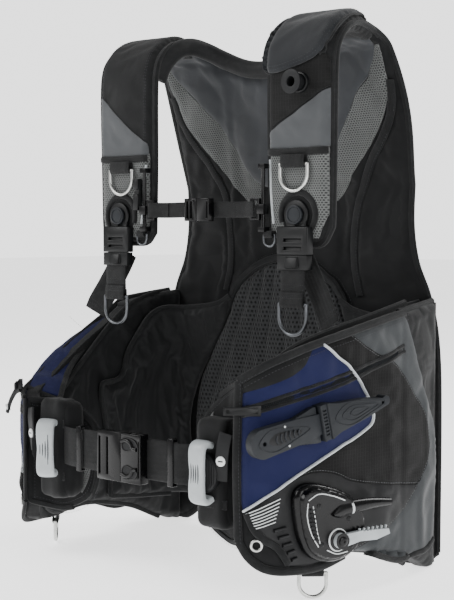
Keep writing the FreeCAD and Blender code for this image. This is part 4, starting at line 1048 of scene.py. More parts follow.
def make_pocket_patches(side, *bases):
    """The pocket's cloth patches, with their piping, bindings and seams."""
    letter = LETTER[side]
    surface = flank_surface(side).cover(*bases)
    pocket_top = POCKET_TOPS[side]

    def patch(name, shape, look, lift, seed, crease=0.8):
        limit = np.interp(shape[:, 0], *np.array(pocket_top).T) - 2.0
        shape = np.stack([shape[:, 0], np.minimum(shape[:, 1], limit)], 1)
        return panel(f"{name}_{letter}", surface, shape, look, step=5, lift=lift, depth=2.8,
                     front=relief(puff(0.9, 4), folds(seed, 60, 20, crease)))

    gray_rear = [(38, -300), (27, -240), (25, -176), (40, -140), (56, -118), (78, -80), (92, -48), (108, -12)]
    gray_low = [(205, -288), (177, -293), (154, -302), (120, -312), (89, -311), (60, -309), (38, -300)]
    gray = np.vstack([smooth(GRAY_FRONT, 5)[:-1], smooth(gray_low, 5)[:-1], smooth(gray_rear, 5)[:-1],
                      smooth([(108, -12), (160, -20), (211, -28)], 5)[:-1]])
    patch("side_panel", gray[::-1], LIGHT_GRAY, 1.2, 110)
    surround_top = [(300, -193), (268, -187), (236, -192), (210, -203), (160, -213), (82, -224)]
    ripstop = np.vstack([smooth(GRAY_FRONT[:10], 5), smooth(surround_top[::-1], 5)[1:-1],
                         smooth((PIPING_TOP + PIPING_LOW[1:])[:14], 5)[::-1], [(254, -39), (232, -33)]])
    patch("side_ripstop", ripstop, RIPSTOP, 0.9, 111, 1.2)
    gusset = [(304, -288), (318, -268), (333, -258), (344, -246)]
    surround_end = smooth([(217, -291), (256, -297), (296, -297)] + gusset + [(351, -226)], 5)
    surround = np.vstack([smooth(surround_top, 5), smooth(GRAY_FRONT[9:], 5)[1:], surround_end])
    patch("lower_panel", surround, RUBBER_SKIN if side == LEFT else TWILL, 1.5, 112, 0.6)
    navy_front = smooth([(360, -215), (361, -150), (360, -94)], 5)
    navy_top = smooth([(352, -90), (325, -82), (287, -67), (273, -47), (262, -41)], 5)
    navy = np.vstack([smooth(PIPING_TOP + PIPING_LOW[1:], 5), navy_front, navy_top])
    patch("navy_panel", navy, NAVY, 1.3, 113, 1.4)
    if side == LEFT:
        flap = [(330, -62), (300, -50), (270, -42), (274, -50), (287, -67), (325, -82)]
        flap = smooth(corners([(359, -78)]) + flap + corners([(359, -92)]), 4, closed=True)
        patch("top_flap", flap, TWILL, 2.1, 114)
    for name, line in (("upper", PIPING_TOP), ("lower", PIPING_LOW))[side == RIGHT:]:
        tape(f"pocket_piping_{name}_{letter}", surface, smooth(line, 3), 3.4, 3.0, PIPING, crown=1.0,
             lift=2.6)
    edge = [pocket_top[-1], (364, -160), (364, -200), (362, -262)]
    lines = [("top", pocket_top), ("front", edge), ("low", POCKET_LOW[:-2])]
    for name, line in lines:
        tape(f"pocket_binding_{name}_{letter}", flank_surface(side), smooth(line, 4), 10, 3.6, BINDING,
             crown=0.8, lift=0.2)
    tape(f"gusset_binding_{letter}", surface, smooth([(352, -228)] + gusset[::-1], 4), 9, 3, BINDING,
         crown=0.8, lift=2.6)
    tape(f"hem_binding_{letter}", surface, smooth(gray_low[1:], 4), 8, 3.2, BINDING, crown=0.8, lift=1.6)
    rows = [offset_line(smooth(line, 4), -3.2, False) for line in (pocket_top, edge)]
    stitches(f"binding_stitches_{letter}", flank_surface(side), rows, THREAD, lift=4.1)
    stitches(f"pocket_stitches_{letter}", surface, [offset_line(smooth(pocket_top, 4), -9.5, False)], THREAD,
             lift=3.4)
    sewn = ((GRAY_FRONT, 2.4), (surround_top, -2.4))
    seams = [offset_line(smooth(line, 4), by, False) for line, by in sewn]
    stitches(f"patch_stitches_{letter}", surface, seams, GRAY_THREAD, lift=2.0)
    return surface


def make_zip(side, surface):
    """The pocket's zip: two tapes that part in the middle, a row of teeth and a closed rear end."""
    letter = LETTER[side]
    line = evenly(smooth(ZIP_LINES[side], 4), 4)
    along = lengths(line)
    gape = 0.4 + 1.6 * np.sin(np.pi * np.clip((along - 20) / 200, 0, 1))
    way = unit(np.gradient(line, axis=0))
    normal = np.stack([-way[:, 1], way[:, 0]], 1)
    for index, sign in enumerate((1, -1)):
        tape(f"zip_tape_{letter}{index}", surface, line + normal * sign * (3.4 + gape[:, None]), 4.6, 1.4,
             TWILL, lift=2.2, crown=0.8)
        stitches(f"zip_stitches_{letter}{index}", surface, [line + normal * sign * (4.6 + gape[:, None])],
                 THREAD, lift=3.2)
    teeth = [line[4:-4] + normal[4:-4] * sign * 1.0 for sign in (1, -1)]
    tape(f"zip_backing_{letter}", surface, line, 6, 1.2, FABRIC, lift=1.9)
    stitches(f"zip_teeth_{letter}", surface, teeth, ZIP_TEETH, 2.2, 1.3, 1.2, 2.9)


def make_pocket_roof():
    """The far pocket's slack top, which slopes up from the wing's lining to the pocket's edge."""
    path = smooth([(-247, -232, -34), (-239, -300, -66), (-225, -352, -96), (-198, -398, -126)], 4)
    share = np.linspace(0, 1, len(path))
    out = unit(np.tile([0.512, -0.376, 0.767], (len(path), 1)))
    dice = np.random.default_rng(151)
    waves = 1.2 * np.interp(share, np.linspace(0, 1, 14), dice.uniform(-1, 1, 14))
    path = path + out * waves[:, None]
    roof = sweep("pocket_roof", path, out, tape_profile(50, 3.0, 2.5), NAVY, taper=0.1 + 0.9 * share**0.8)
    subdivided(roof)
    front = smooth([(-219, -411, -117), (-206, -406, -123), (-192, -398, -129), (-176, -387, -136)], 3)
    sweep("pocket_roof_binding", front, out[-1:].repeat(len(front), 0), tape_profile(10, 5, 1.0), BINDING)
    inner = path + np.array([0.84, 0.41, -0.36]) * (25 * (0.1 + 0.9 * share[:, None]**0.8)) + out
    sweep("pocket_roof_edge", inner, out, tape_profile(8, 4, 1.0), BINDING)
    tab = smooth([(-203, -431, -116), (-213, -430, -120), (-224, -430, -133), (-232, -430, -150)], 3)
    facing = np.tile([-0.6, -0.74, 0.3], (len(tab), 1))
    sweep("far_pull_tab", tab, unit(facing), tape_profile(13, 4, 1.0), RUBBER_SKIN)
    disc = Plate((-229.5, -431, -144), (-0.8, 0.6, 0), (-0.3, -0.3, 1))
    lathe("far_pull_disc", disc, (0, 0), [(5, -1.6), (5, 2.6), (4.3, 3.0)], WHITE)


def make_stripes(surface):
    """Seven pale printed bars beside the control, and five raised ribs below them."""
    for index in range(5):
        low = -248.5 - 9 * index
        line = smooth([(322 - 5.5 * index, low), (307 - 3.6 * index, low + 2)], 3)
        tape(f"lower_panel_rib_{index}", surface, line, 4, 2.6, RUBBER_SKIN, lift=3.4, crown=1.2)
    for index in range(7):
        start = (353 - 1.6 * index, -229 - 2.7 * index)
        stop = (315 + 0.9 * index, -212 - 4.4 * index)
        tape(f"printed_stripe_{index}", surface, smooth([start, stop], 4), 1.2, 0.5, PRINT, lift=4.2)


# ---------------------------------------------------------------- front tabs and weight pouches

FRONT_LINE = [(190, -437), (176, -424), (158, -409), (130, -401), (60, -397)]


def make_front_tab(side):
    """The wing's front end, which carries the weight pouch: two skins with a net edge and binding."""
    letter = LETTER[side]
    surface = Surface("wall", FRONT_LINE, (0, -1), side)
    if side == LEFT:
        top = [(2, -78), (2, -78), (30, -84), (56, -92), (82, -108), (104, -128), (112, -152)]
    else:
        top = [(2, -130), (2, -130), (30, -132), (56, -136), (82, -144), (104, -158), (112, -174)]
    outline = smooth(top + [(111, -222), (100, -250), (76, -266), (50, -272), (2, -262), (2, -262)], 5,
                     closed=True)
    tab = panel(f"front_tab_{letter}", surface, outline, FABRIC, step=5, lift=1, depth=4,
                front=relief(puff(1.5, 8), folds(120 + side, 45, 80, 2.0)))
    subdivided(tab)
    surface.cover(tab)
    rim = outline[np.abs(outline[:, 0] - 2) > 0.5]
    start = int(np.argmax(np.linalg.norm(np.diff(rim, axis=0), axis=1))) + 1
    rim = np.vstack([rim[start:], rim[:start]])
    edge_binding(f"tab_binding_{letter}", surface, rim[4:-4], 0, 9, 5.5)
    net = [(84, -122), (96, -136), (101, -152), (101, -218), (92, -240), (84, -250), (86, -236), (92, -214),
           (92, -156)]
    net = [(u, min(v, -170)) for u, v in net] if side == RIGHT else net
    panel(f"tab_net_{letter}", surface, smooth(net, 4, closed=True), NET, step=4, lift=1.0, depth=2.4)
    stitches(f"tab_stitches_{letter}", surface, [offset_line(rim, by, False) for by in (7, -7)], THREAD)


def rounded_box(name, low, high, corner, look, step=6.0, bulge=0.0, seed=0, body="root"):
    """A soft box with round edges and bulging faces."""
    low, high = np.array(low, float), np.array(high, float)
    b = bmesh.new()
    bmesh.ops.create_cube(b, size=1.0)
    cuts = int(max(high - low) / step)
    bmesh.ops.subdivide_edges(b, edges=b.edges[:], cuts=cuts, use_grid_fill=True)
    points = np.array([v.co[:] for v in b.verts]) + 0.5
    faces = [[v.index for v in f.verts] for f in b.faces]
    b.free()
    middle, half = (low + high) / 2, (high - low) / 2
    spread = (points - 0.5) * 2
    core = np.clip(spread * half, -(half - corner), half - corner)
    away = spread * half - core
    size = np.linalg.norm(away, axis=1, keepdims=True)
    places = middle + core + away / np.maximum(size, 1e-9) * np.minimum(size, corner)
    crown = np.prod(1 - np.clip(np.abs(spread), 0, 1)**2 * 0.75, axis=1) - 0.03
    way = unit(spread**5)
    places += way * (bulge * crown / 0.25)[:, None]
    uv = places[:, [0, 2]] + places[:, [1, 1]]
    crease = folds(seed, 40, 80, 1.8)(uv, np.full(len(uv), 20.0))
    places += way * crease[:, None]
    return finish_piece(name, places, faces, look, uv, np.full(len(uv), 20.0), body=body)


def make_weights(side):
    """The sleeve on the tab, with its two bands, and the pouch in it."""
    letter = LETTER[side]
    body = f"weight_{letter}"
    ends = sorted((side * 110, side * 169))
    sleeve = rounded_box(f"sleeve_{letter}", (ends[0], -431.5, -252), (ends[1], -399, -128), 14, FABRIC,
                         bulge=0.5, seed=130 + side)
    inflate(sleeve, 1.5, 0.0, 3, rim=-1.0)
    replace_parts(sleeve, "weight_sleeves")
    face = Surface("drape", [(-433.5, -110), (-433.5, -270)], (-1, 0),
                   keys=lambda line: line[:, 1]).cover(sleeve)
    for index, z in enumerate((-156, -224)):
        tape(f"sleeve_band_{letter}{index}", face, np.array([(side * 117.0, z), (side * 163.0, z)]), 12, 2.2,
             WEBBING)
    rows = [[(side * 117, z), (side * 163, z)] for z in (-151.5, -160.5, -219.5, -228.5)]
    stitches(f"sleeve_stitches_{letter}", face, rows, THREAD, lift=2.4)

    low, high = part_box(f"weight_pouch_{letter}")
    low, high = np.array(low) / MM, np.array(high) / MM
    low[0], high[0] = sorted((side * 117, side * 163))
    pouch = rounded_box(f"pouch_{letter}", low + (0, 0.8, 4), high - (0, 0.8, 4), 9, TWILL, 5, 0.3,
                        140 + side, body=body)
    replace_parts(pouch, f"weight_pouch_{letter}")


# ---------------------------------------------------------------- webbing

def strap_run(name, points, out, width, thick, stitched=(), look=WEBBING, body="root"):
    """Flat webbing along a smooth line in space. stitched gives where it is sewn, as shares."""
    path = smooth(points, 3)
    face = np.tile(np.array(out, float), (len(path), 1))
    run = sweep(name, path, face, tape_profile(width, thick), look, body=body)
    along = lengths(path)
    way = unit(np.gradient(path, axis=0))
    across = np.cross(way, unit(face - (face * way).sum(1, keepdims=True) * way))
    rows = []
    for share in stitched:
        i = int(np.argmin(np.abs(along - share * along[-1])))
        front = unit(np.cross(across[i], way[i]))
        plate = Plate(path[i] + front * (thick / 2), across[i], way[i])
        half = width / 2 - 2.5
        rows.append((plate, [[(-half, -3), (half, -3)], [(-half, 3), (half, 3)], [(-half, -3), (half, 3)]]))
    for index, (plate, lines) in enumerate(rows):
        stitches(f"{name}_bartack_{index}", plate, lines, THREAD, 3.2, 2.4, 0.4, 0.1, body=body)
    return run


class Plate:
    """A flat surface with its own axes: u and v lie in it, and its way out is v x u."""

    def __init__(self, origin, u_axis, v_axis):
        self.origin = np.array(origin, float)
        self.u, self.v = unit(np.array(u_axis, float)), unit(np.array(v_axis, float))
        self.out = np.cross(self.v, self.u)

    def frame(self, uv):
        uv = np.atleast_2d(np.array(uv, float))
        return self.origin + uv[:, :1] * self.u + uv[:, 1:2] * self.v, np.tile(self.out, (len(uv), 1))

    bare = frame

    def at_height(self, height):
        return self.origin + self.out * height


def make_webbing(side):
    """Every piece of webbing on one side."""
    letter = LETTER[side]
    shoulder, chest = f"shoulder_plug_{letter}", f"chest_slider_{letter}"
    chest_start, belt_start = (5, 42) if side == LEFT else (24, 74)
    run = strap_run(f"chest_strap_{letter}", [(side * chest_start, -296.8, 118), (side * 30, -297.3, 118.2),
                                              (side * 60, -297.0, 117.8), (side * 84, -297.2, 118)],
                    (0, -1, 0), 20, 1.6, (0.66, 0.9), body=chest)
    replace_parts(run, f"chest_webbing_{letter}")
    fold = [(side * 83, -297.3, 118), (side * 91.5, -300.5, 118), (side * 93.5, -302.6, 118),
            (side * 89, -303.2, 118), (side * 74, -299.4, 118), (side * 60, -298.6, 118)]
    strap_run(f"chest_strap_fold_{letter}", fold, (0, -1, 0), 19.4, 1.5, (0.75,), body=chest)

    x = side * SWIVEL_X
    run = [(x, -302.6, 44), (x, -303.4, 34), (x, -303.2, 20), (x, -303, 6.5)]
    tail = strap_run(f"tail_strap_{letter}", run, (0, -1, 0), 37.5, 2, (0.55,), body=shoulder)
    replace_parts(tail, f"tail_webbing_{letter}")
    loop = [(x, -305.2, 17), (x, -306.2, 8), (x, -306.6, 2), (x, -304.4, -1.6), (x, -301.2, 1.5),
            (x, -301, 12)]
    strap_run(f"tail_strap_loop_{letter}", loop, (0, -1, 0), 36.5, 1.8, (0.1,), body=shoulder)
    load = [(x, -284, 63), (side * 166, -285, 44), (side * 186, -289, 12), (side * 200, -293, -10),
            (side * 206, -294, -22)]
    load_run = strap_run(f"load_strap_{letter}", load, (-side * 0.25, -1, 0), 36, 2, (0.12, 0.9))
    middle = WAIST_Z
    belt = strap_run(f"waist_strap_{letter}", [(side * 14, -436.4, middle), (side * 40, -437, middle),
                                               (side * 66, -436.6, middle), (side * 90, -436.2, middle)],
                     (0, -1, 0), 50, 2.2, (0.52,) if side == LEFT else ())
    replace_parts(belt, "sewn_webbing")
    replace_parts(load_run, "sewn_webbing")
    end = [(side * belt_start, -439.2, middle), (side * 76, -438.4, middle), (side * 84, -438.3, middle),
           (side * 94, -437.4, middle), (side * 108, -433.5, middle), (side * 124, -428.5, middle)]
    strap_run(f"waist_strap_end_{letter}", end, (0, -1, 0), 48.5, 1.8)

    tabs = [("shoulder", (side * 151, -297, 172), 37, 12, (0, -1, 0)),
            ("chest", (side * 112, -296, 86), 14, 5, (0, -1, 0)),
            ("hip", (side * 226, -352, -307), 26, 9, (side * 0.707, -0.707, 0))]
    for name, at, width, up, out in tabs:
        at, out = np.array(at, float), np.array(out, float)
        loop = [at + out * h + np.array([0, 0, z]) for h, z in (
            (-2.8, up), (-3.6, up * 0.4), (-3.4, -1.0), (0, -3.9), (3.4, -1.0), (3.6, up * 0.4), (2.2, up))]
        piece = strap_run(f"{name}_ring_tab_{letter}", loop, out, width, 1.8)
        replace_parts(piece, "ring_tabs")


def make_tank_band():
    """The band round the cylinder."""
    turn = np.linspace(0, TURN, 97)[:-1]
    out = np.stack([np.cos(turn), np.sin(turn), np.zeros(96)], 1)
    band = sweep("tank_strap", out * 93.4, out, tape_profile(50, 2.6), WEBBING, closed=True)
    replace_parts(band, "tank_band")


# ---------------------------------------------------------------- moulded parts

def lathe(name, surface, at, profile, look, sides=28, body="root"):
    """A turned piece that stands on a surface: profile is a list of (radius, height)."""
    (place,), (out,) = surface.frame([at])
    side = unit(np.cross(out, (0.2, 0.3, 0.95)))
    other = np.cross(out, side)
    verts = [place + out * h + (side * math.cos(t) + other * math.sin(t)) * r
             for r, h in profile for t in np.arange(sides) * TURN / sides]
    faces = []
    for ring in range(len(profile) - 1):
        a, b = ring * sides, (ring + 1) * sides
        faces += [(a + j, a + (j + 1) % sides, b + (j + 1) % sides, b + j) for j in range(sides)]
    faces += [tuple(range(sides))[::-1], tuple(range(len(verts) - sides, len(verts)))]
    return finish_piece(name, verts, faces, look, body=body)


FLANK_FRONT = np.array([-0.258819, -0.965926, 0])
UP = np.array([0.0, 0.0, 1.0])


def screw(name, surface, at, height):
    """A sunk screw head with a cross slot."""
    radius = 3.0
    profile = [(radius, height - 2), (radius, height), (radius * 0.8, height + 0.5)]
    lathe(name, surface, at, profile, MATTE, 20)
    (u, v), arm = at, radius * 0.6
    for index, (du, dv) in enumerate(((1, 0), (0, 1))):
        line = np.array([(u - du * arm, v - dv * arm), (u + du * arm, v + dv * arm)])
        tape(f"{name}_slot_{index}", surface, line, 0.8, 0.5, RUBBER, lift=height + 0.5, step=1)


def make_control():
    """The inflation control: a domed gloss housing with a ribbed thumb grip, a spout and a lever."""
    surface = Plate(CONTROL_AT, FLANK_FRONT, UP)
    outline = smooth([(44, 30), (38, 42), (21, 46), (-8, 39), (-34, 27), (-51, 9), (-56, -8), (-50, -28),
                      (-36, -42), (-14, -48), (10, -45), (28, -33), (39, -8)], 2.5, closed=True)
    middle = np.array([-5, -1])
    base = panel("control_base", surface, outline, GLOSS, step=3, lift=7, depth=13, front=puff(4.5, 5))
    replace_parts(base, "control_housing")
    crown = middle + (outline - middle) * 0.92
    panel("control_crown", surface, crown, GLOSS, step=2.5, lift=11.5, depth=3, front=puff(5.6, 4))
    face = Plate(surface.at_height(17.4), FLANK_FRONT, UP)
    arcs = ([(32, 29), (18, 35), (-2, 31), (-20, 24)], [(33, 26), (34, 10), (28, -10), (18, -26)],
            [(26, 22), (23, 8), (20, -8), (16, -22)], [(-24, -36), (-8, -37), (6, -31)])
    for index, arc in enumerate(arcs):
        tape(f"control_line_{index}", face, smooth(arc, 2), 1.3, 0.7, PRINT, lift=0.3, step=2)
    grip = smooth([(31, 24), (32.5, 8), (27, -9), (18, -23), (21, -8), (25, 10)], 2, closed=True)
    panel("control_thumb_grip", face, grip, RUBBER, step=2, lift=-1.2, depth=3, front=puff(1.4, 2))
    for index in range(8):
        z = 18 - 5.0 * index
        middle_x = 26.5 - (z - 12)**2 * 0.006
        rib = np.array([(middle_x - 3.4, z - 0.8), (middle_x + 3.4, z + 0.8)])
        tape(f"control_grip_rib_{index}", face, rib, 2.0, 1.6, RUBBER, lift=0.7, step=2, crown=0.5)
    spout = smooth([(-2, 9), (-24, 13), (-50, 15), (-72, 15), (-92, 14)], 3)
    places, out = surface.frame(spout)
    share = np.linspace(0, 1, len(spout))
    rise = 15.0 - 5.0 * share
    girth = np.sqrt(np.clip(share * 7, 0.05, 1)) * (1.15 - 0.6 * share**1.6)
    sweep("control_spout", places + out * rise[:, None], out, oval(8, 6), GLOSS, taper=girth)
    places, out = surface.frame([(-30, 13.5), (-33, 13.8)])
    sweep("control_spout_ring", places + out * 13.2, out, oval(8.0, 6.9), PRINT)
    for index in range(7):
        tooth = np.array([(-36 - 6.5 * index, -13.6), (-37.5 - 6.5 * index, -9.8)])
        tape(f"lever_tooth_{index}", surface, tooth, 2.4, 3.0, PALE, lift=22.5, crown=0.6, step=1,
             body="control_lever")
    for index, at in enumerate(((17, 21), (-26, 2), (13, -24), (-30, -30))):
        screw(f"control_screw_{index}", surface, at, 17.6)
    pivot = (-10, -21)
    lathe("control_pivot", surface, pivot, [(12, 12), (12, 19.4), (11, 20.2)], GLOSS)
    lathe("control_pivot_ring", surface, pivot, [(13.6, 15), (13.6, 17.9), (12.4, 18.3)], PRINT)
    lathe("lever_cap", surface, pivot, [(5.6, 26), (5.6, 28.6), (4.6, 29.4), (1.8, 29.4), (1.8, 28.4)],
          GLOSS)
    polished("control_lever", PALE, 1.2, 3)
    lathe("lever_hub_cover", surface, pivot, [(9.4, 26.8), (9.2, 27.4), (6.2, 27.6)], GLOSS,
          body="control_lever")


def teardrop(x_low, x_high, half):
    """A long drop shape, round at its high end."""
    long = x_high - x_low
    top = [(x_low, 0), (x_low + long * 0.35, half * 0.62), (x_low + long * 0.75, half), (x_high, 0)]
    return smooth(top + [(x, -z) for x, z in reversed(top[1:-1])], 2, closed=True)


def make_knife():
    """The knife's grip with its inlay, squeeze tabs and dots, and the sheath's raised contours."""
    tilt = math.radians(12)
    along = FLANK_FRONT * math.cos(tilt) - UP * math.sin(tilt)
    upright = FLANK_FRONT * math.sin(tilt) + UP * math.cos(tilt)
    surface = Plate(KNIFE_AT, along, upright)
    polished("knife", SLATE, 2.2, 3)
    polished("knife_sheath", SLATE, 1.6, 3)
    inlay = teardrop(34, 88, 8.0)
    panel("knife_inlay", surface, inlay, RUBBER, step=3, lift=13.6, depth=1.6, front=puff(1.4, 3),
          body="knife")
    for index in range(6):
        x = 44 + 6.2 * index
        half = 3.4 + 2.2 * math.sin(index / 5 * 2.6)
        tape(f"knife_inlay_rib_{index}", surface, smooth([(x, -half), (x + 2, 0), (x, half)], 2), 2.4, 1.2,
             SLATE, lift=15.2, crown=0.5, step=2, body="knife")
    rim = teardrop(28, 100, 12.5)
    tape("knife_grip_contour", surface, looped(rim), 1.0, 0.8, SLATE, lift=14.2, closed=True,
         step=2.5, body="knife")
    for index, at in enumerate(((62, 11.5), (60, -11.5))):
        lathe(f"knife_dot_{index}", surface, at, [(1.3, 13), (1.3, 14.4), (1.0, 14.7)], PRINT, 14,
              body="knife")
    for way in (1, -1):
        for index in range(7):
            x = 20 + 4.4 * index
            z = way * (20.6 - 0.195 * (x - 15))
            tape(f"knife_tab_tooth_{index}_{'up' if way > 0 else 'low'}", surface,
                 np.array([(x, z - way * 1.2), (x - 1.0, z + way * 1.2)]), 2.0, 7.0, SLATE, lift=8, step=1,
                 body="knife")
    for index, (low, high, half) in enumerate(((-82, -8, 12.5), (-72, -18, 8.0), (-58, -30, 4.2))):
        drop = -teardrop(-high, -low, half)
        drop[:, 0] = low + high - drop[:, 0]
        tape(f"sheath_contour_{index}", surface, looped(drop), 1.2, 1.0, SLATE, lift=15.1,
             closed=True, step=2.5)
    for x in (0.0, 10.5):
        tape(f"sheath_throat_{int(x)}", surface, np.array([(x, -21.0), (x, 21.0)]), 2.6, 2.2, SLATE,
             lift=15.4, crown=0.6)


def make_handle(side):
    """A weight pouch's pale pull handle, with slots in its face and a ribbed black grip beside it."""
    letter = LETTER[side]
    body = f"weight_{letter}"
    x, lean = side * 137, 0.0 if side == LEFT else 0.5
    path = smooth([(x + lean * (-437.5 - y), y, z) for y, z in (
        (-437.5, -156), (-446, -153.5), (-452.5, -157.5), (-454.2, -170), (-453.4, -187), (-454.2, -204),
        (-452.5, -216.5), (-446, -220.5), (-437.5, -218))], 2)
    share = lengths(path) / lengths(path)[-1]
    waist = 1 - 0.1 * np.exp(-((share - 0.5) / 0.16)**2)
    out = unit(path - np.array([x, -440, -187]))
    section = [(11.8 * np.sign(math.cos(t)) * abs(math.cos(t))**0.5,
                4.4 * np.sign(math.sin(t)) * abs(math.sin(t))**0.6) for t in np.linspace(0, TURN, 25)[:-1]]
    handle = sweep(f"pull_handle_{letter}", path, out, section, PALE, taper=waist, body=body)
    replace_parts(handle, f"weight_handle_{letter}")
    front = unit(np.array([lean, -1.0, 0.0]))
    across = np.cross(UP, front)
    for index in range(4):
        line = np.array([(x + lean * 16, -453.6, z) for z in np.linspace(-206, -168, 14)])
        line = line + across * (3.6 * index - 5.4) + front * 4.3
        sweep(f"handle_slot_{letter}{index}", line, np.tile(front, (14, 1)), tape_profile(1.2, 1.0), SLATE,
              body=body)
    pad = Plate((x, -444, -187), (-1, 0, 0), UP)
    half_round = [(0, 24), (0, 24), (10, 22), (20, 14), (24, 0), (20, -14), (10, -22), (0, -24), (0, -24)]
    shape = flipped(-side, half_round, 2.5, True)
    grip = panel(f"handle_grip_{letter}", pad, shape, RUBBER, step=3, lift=3, depth=9, front=puff(2.5, 5),
                 body=body)
    subdivided(grip)
    for index in range(6):
        u = 8.0 + 2.6 * index
        reach = 20.0 * math.sqrt(1 - (u / 25.0)**2)
        tape(f"grip_rib_{letter}{index}", pad, np.array([(-side * u, -reach), (-side * u, reach)]), 1.3, 1.4,
             RUBBER, lift=5.6, crown=0.4, step=3, body=body)


def make_belt_tab(side):
    """The rubber tab beside a pouch's handle, with a plain pale disc."""
    letter = LETTER[side]
    tab = [(side * 171, -441.0, -139), (side * 169, -443.0, -150), (side * 166, -443.4, -170),
           (side * 165, -442.6, -182), (side * 164, -441.8, -194)]
    strap_run(f"belt_tab_{letter}", tab, (side * 0.3, -1, 0), 17, 3.4, look=RUBBER_SKIN)
    plate = Plate((side * 166.2, -445.2, -171), (-1, -side * 0.3, 0), UP)
    lathe(f"belt_tab_disc_{letter}", plate, (0, 0), [(5.8, -1), (5.8, 0.9), (5.2, 1.3)], WHITE)
    tape(f"belt_tab_mark_{letter}", plate, np.array([(-3.0, 0.0), (3.0, 0.0)]), 1.6, 0.5, RUBBER, lift=1.4,
         step=1)


def make_moulded():
    """Rounded copies of the CAD's moulded nodes, with the details they carry."""
    for look, bevel, nodes in (
            (GLOSS, 1.6, ["waist_buckle_socket"]), (GLOSS, 1.4, ["waist_buckle_plug"]),
            (GLOSS, 1.0, ["waist_prong_upper", "waist_prong_lower", "chest_buckle_socket"]),
            (GLOSS, 0.8, ["chest_buckle_plug"]), (GLOSS, 0.6, ["chest_rails"]),
            (GLOSS, 0.9, ["chest_slider_l", "chest_slider_r"]), (GLOSS, 1.2, ["keeper_loops"]),
            (MATTE, 1.2, ["shoulder_socket_l", "shoulder_socket_r", "shoulder_plug_l", "shoulder_plug_r"]),
            (SLATE, 1.0, ["swivel_hubs"]), (MATTE, 0.6, ["zip_slider_l", "zip_slider_r"]),
            (MATTE, 1.2, ["whistle"]), (MATTE, 1.0, ["cam_buckle_base"]),
            (MATTE, 1.2, ["cam_lever", "dump_valve"]), (MATTE, 2.0, ["backplate"]),
            (RUBBER, 2.0, ["carry_handle"]), (MATTE, 0.8, ["inflator_socket"]),
            (RUBBER, 1.0, ["inflator_mouthpiece"]), (STEEL, 0.5, ["drain_eyelets"])):
        for node in nodes:
            polished(node, look, bevel)
    buckle = Plate((0, -452.2, WAIST_Z), (-1, 0, 0), UP)
    for way in (1, -1):
        name = "upper" if way > 0 else "lower"
        window = smooth([(-13, way * 24), (-22, way * 25), (-34, way * 22), (-37, way * 16), (-28, way * 11),
                         (-16, way * 9), (-11, way * 14)], 2, closed=True)
        panel(f"buckle_window_{name}", buckle, window, RUBBER, step=3, lift=0.15, depth=0.8)
        prong = smooth([(-10, way * 20), (-18, way * 22), (-26, way * 19), (-30, way * 13), (-36, way * 12)],
                       2)
        tape(f"buckle_prong_{name}", buckle, prong, 5, 2.0, GLOSS, lift=0.6, crown=0.8, step=2)
        rim = looped(window)
        tape(f"buckle_rim_{name}", buckle, rim, 1.4, 1.0, GLOSS, lift=0.4, closed=True, step=2)
    for side in (LEFT, RIGHT):
        hub = Plate((side * SWIVEL_X, -302.5, SWIVEL_Z), (-1, 0, 0), UP)
        turn = np.linspace(0, TURN, 41)
        ring = np.stack([9.4 * np.cos(turn), 9.4 * np.sin(turn)], 1)
        tape(f"hub_ring_{LETTER[side]}", hub, ring, 1.4, 1.0, SLATE, lift=0.3, closed=True, step=2)


back_surface = make_back()
make_pad(back_surface)
make_collar()
for strap_side in (LEFT, RIGHT):
    strap_surface = make_strap(strap_side)
    if strap_side == LEFT:
        make_flap(strap_surface)
for flank_side in (LEFT, RIGHT):
    wing = make_wing(flank_side)
    make_belt_pad(flank_side)
    pocket = make_pocket(flank_side)
    pocket_surface = make_pocket_patches(flank_side, wing, pocket)
    make_zip(flank_side, pocket_surface)
    if flank_side == LEFT:
        make_stripes(pocket_surface)
    if flank_side == RIGHT:
        make_pocket_roof()
    make_front_tab(flank_side)
    make_weights(flank_side)
    make_handle(flank_side)
    make_webbing(flank_side)
    make_belt_tab(flank_side)
make_tank_band()
make_moulded()
make_control()
make_knife()


# ---------------------------------------------------------------- studio

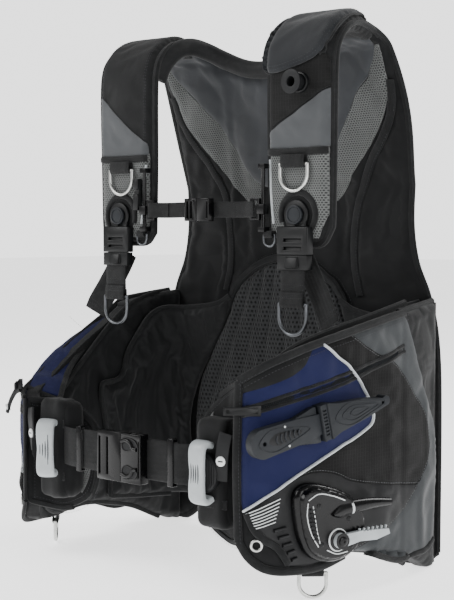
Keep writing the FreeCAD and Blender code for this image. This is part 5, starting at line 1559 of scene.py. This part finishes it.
def make_studio():
    """A pale floor, soft lights and the camera."""
    bottom = frame_bottom() * MM
    floor_mesh = bpy.data.meshes.new("floor")
    square = [(x * FLOOR_REACH, y * FLOOR_REACH, bottom) for x, y in ((-1, -1), (1, -1), (1, 1), (-1, 1))]
    floor_mesh.from_pydata(square, [], [(0, 1, 2, 3)])
    floor = bpy.data.objects.new("floor", floor_mesh)
    bpy.context.scene.collection.objects.link(floor)
    pale = Look("floor_paint")
    for socket in ("Base Color", "Emission Color"):
        pale.set(socket, tint(252, 252, 252))
    pale.set("Emission Strength", FLOOR_GLOW)
    pale.set("Roughness", pale.span(pale.noise(pale.place(), 3.0), 0.3, 0.7, 0.75, 0.9))
    floor_mesh.materials.append(pale.material)

    world = bpy.data.worlds.new("studio")
    world.use_nodes = True
    background = world.node_tree.nodes["Background"]
    background.inputs[0].default_value = (1.0, 1.0, 1.0, 1.0)
    seen = world.node_tree.nodes.new("ShaderNodeLightPath").outputs["Is Camera Ray"]
    power = world.node_tree.nodes.new("ShaderNodeMapRange")
    power.inputs["To Min"].default_value = WORLD_POWER
    power.inputs["To Max"].default_value = BACKDROP_POWER
    world.node_tree.links.new(seen, power.inputs["Value"])
    world.node_tree.links.new(power.outputs[0], background.inputs[1])
    bpy.context.scene.world = world

    for name, at, size, power in SOFT_LIGHTS:
        light = bpy.data.lights.new(name, "AREA")
        light.size = size
        light.energy = power
        lamp = bpy.data.objects.new(name, light)
        lamp.location = at
        lamp.rotation_euler = (AIM - Vector(at)).to_track_quat("-Z", "Y").to_euler()
        bpy.context.scene.collection.objects.link(lamp)

    camera = bpy.data.cameras.new("camera")
    camera.lens = CAMERA_LENS
    camera.sensor_width = 36.0
    view = bpy.data.objects.new("camera", camera)
    turn, rise = math.radians(CAMERA_TURN), math.radians(CAMERA_RISE)
    away = Vector((math.sin(turn) * math.cos(rise), -math.cos(turn) * math.cos(rise), math.sin(rise)))
    view.location = AIM + away * CAMERA_DISTANCE
    view.rotation_euler = (-away).to_track_quat("-Z", "Y").to_euler()
    bpy.context.scene.collection.objects.link(view)
    bpy.context.scene.camera = view


def frame_bottom():
    """The floor's height: just under the lowest CAD node."""
    return min(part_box(name)[0].z for name in frame["nodes"]) / MM - 1.0


AIM = Vector((0.0, -0.25, 0.0))
FLOOR_REACH = 14.0
CAMERA_DISTANCE, CAMERA_TURN, CAMERA_RISE, CAMERA_LENS = 1.85, 42.0, 3.0, 84.36
FLOOR_GLOW, WORLD_POWER, BACKDROP_POWER = 1.7, 0.36, 2.3
SOFT_LIGHTS = [
    ("key", (-1.4, -2.2, 1.7), 1.5, 64.0),
    ("fill", (2.6, -1.0, 0.9), 1.6, 44.0),
    ("rim", (0.6, 1.8, 1.8), 1.2, 42.0),
]
make_studio()
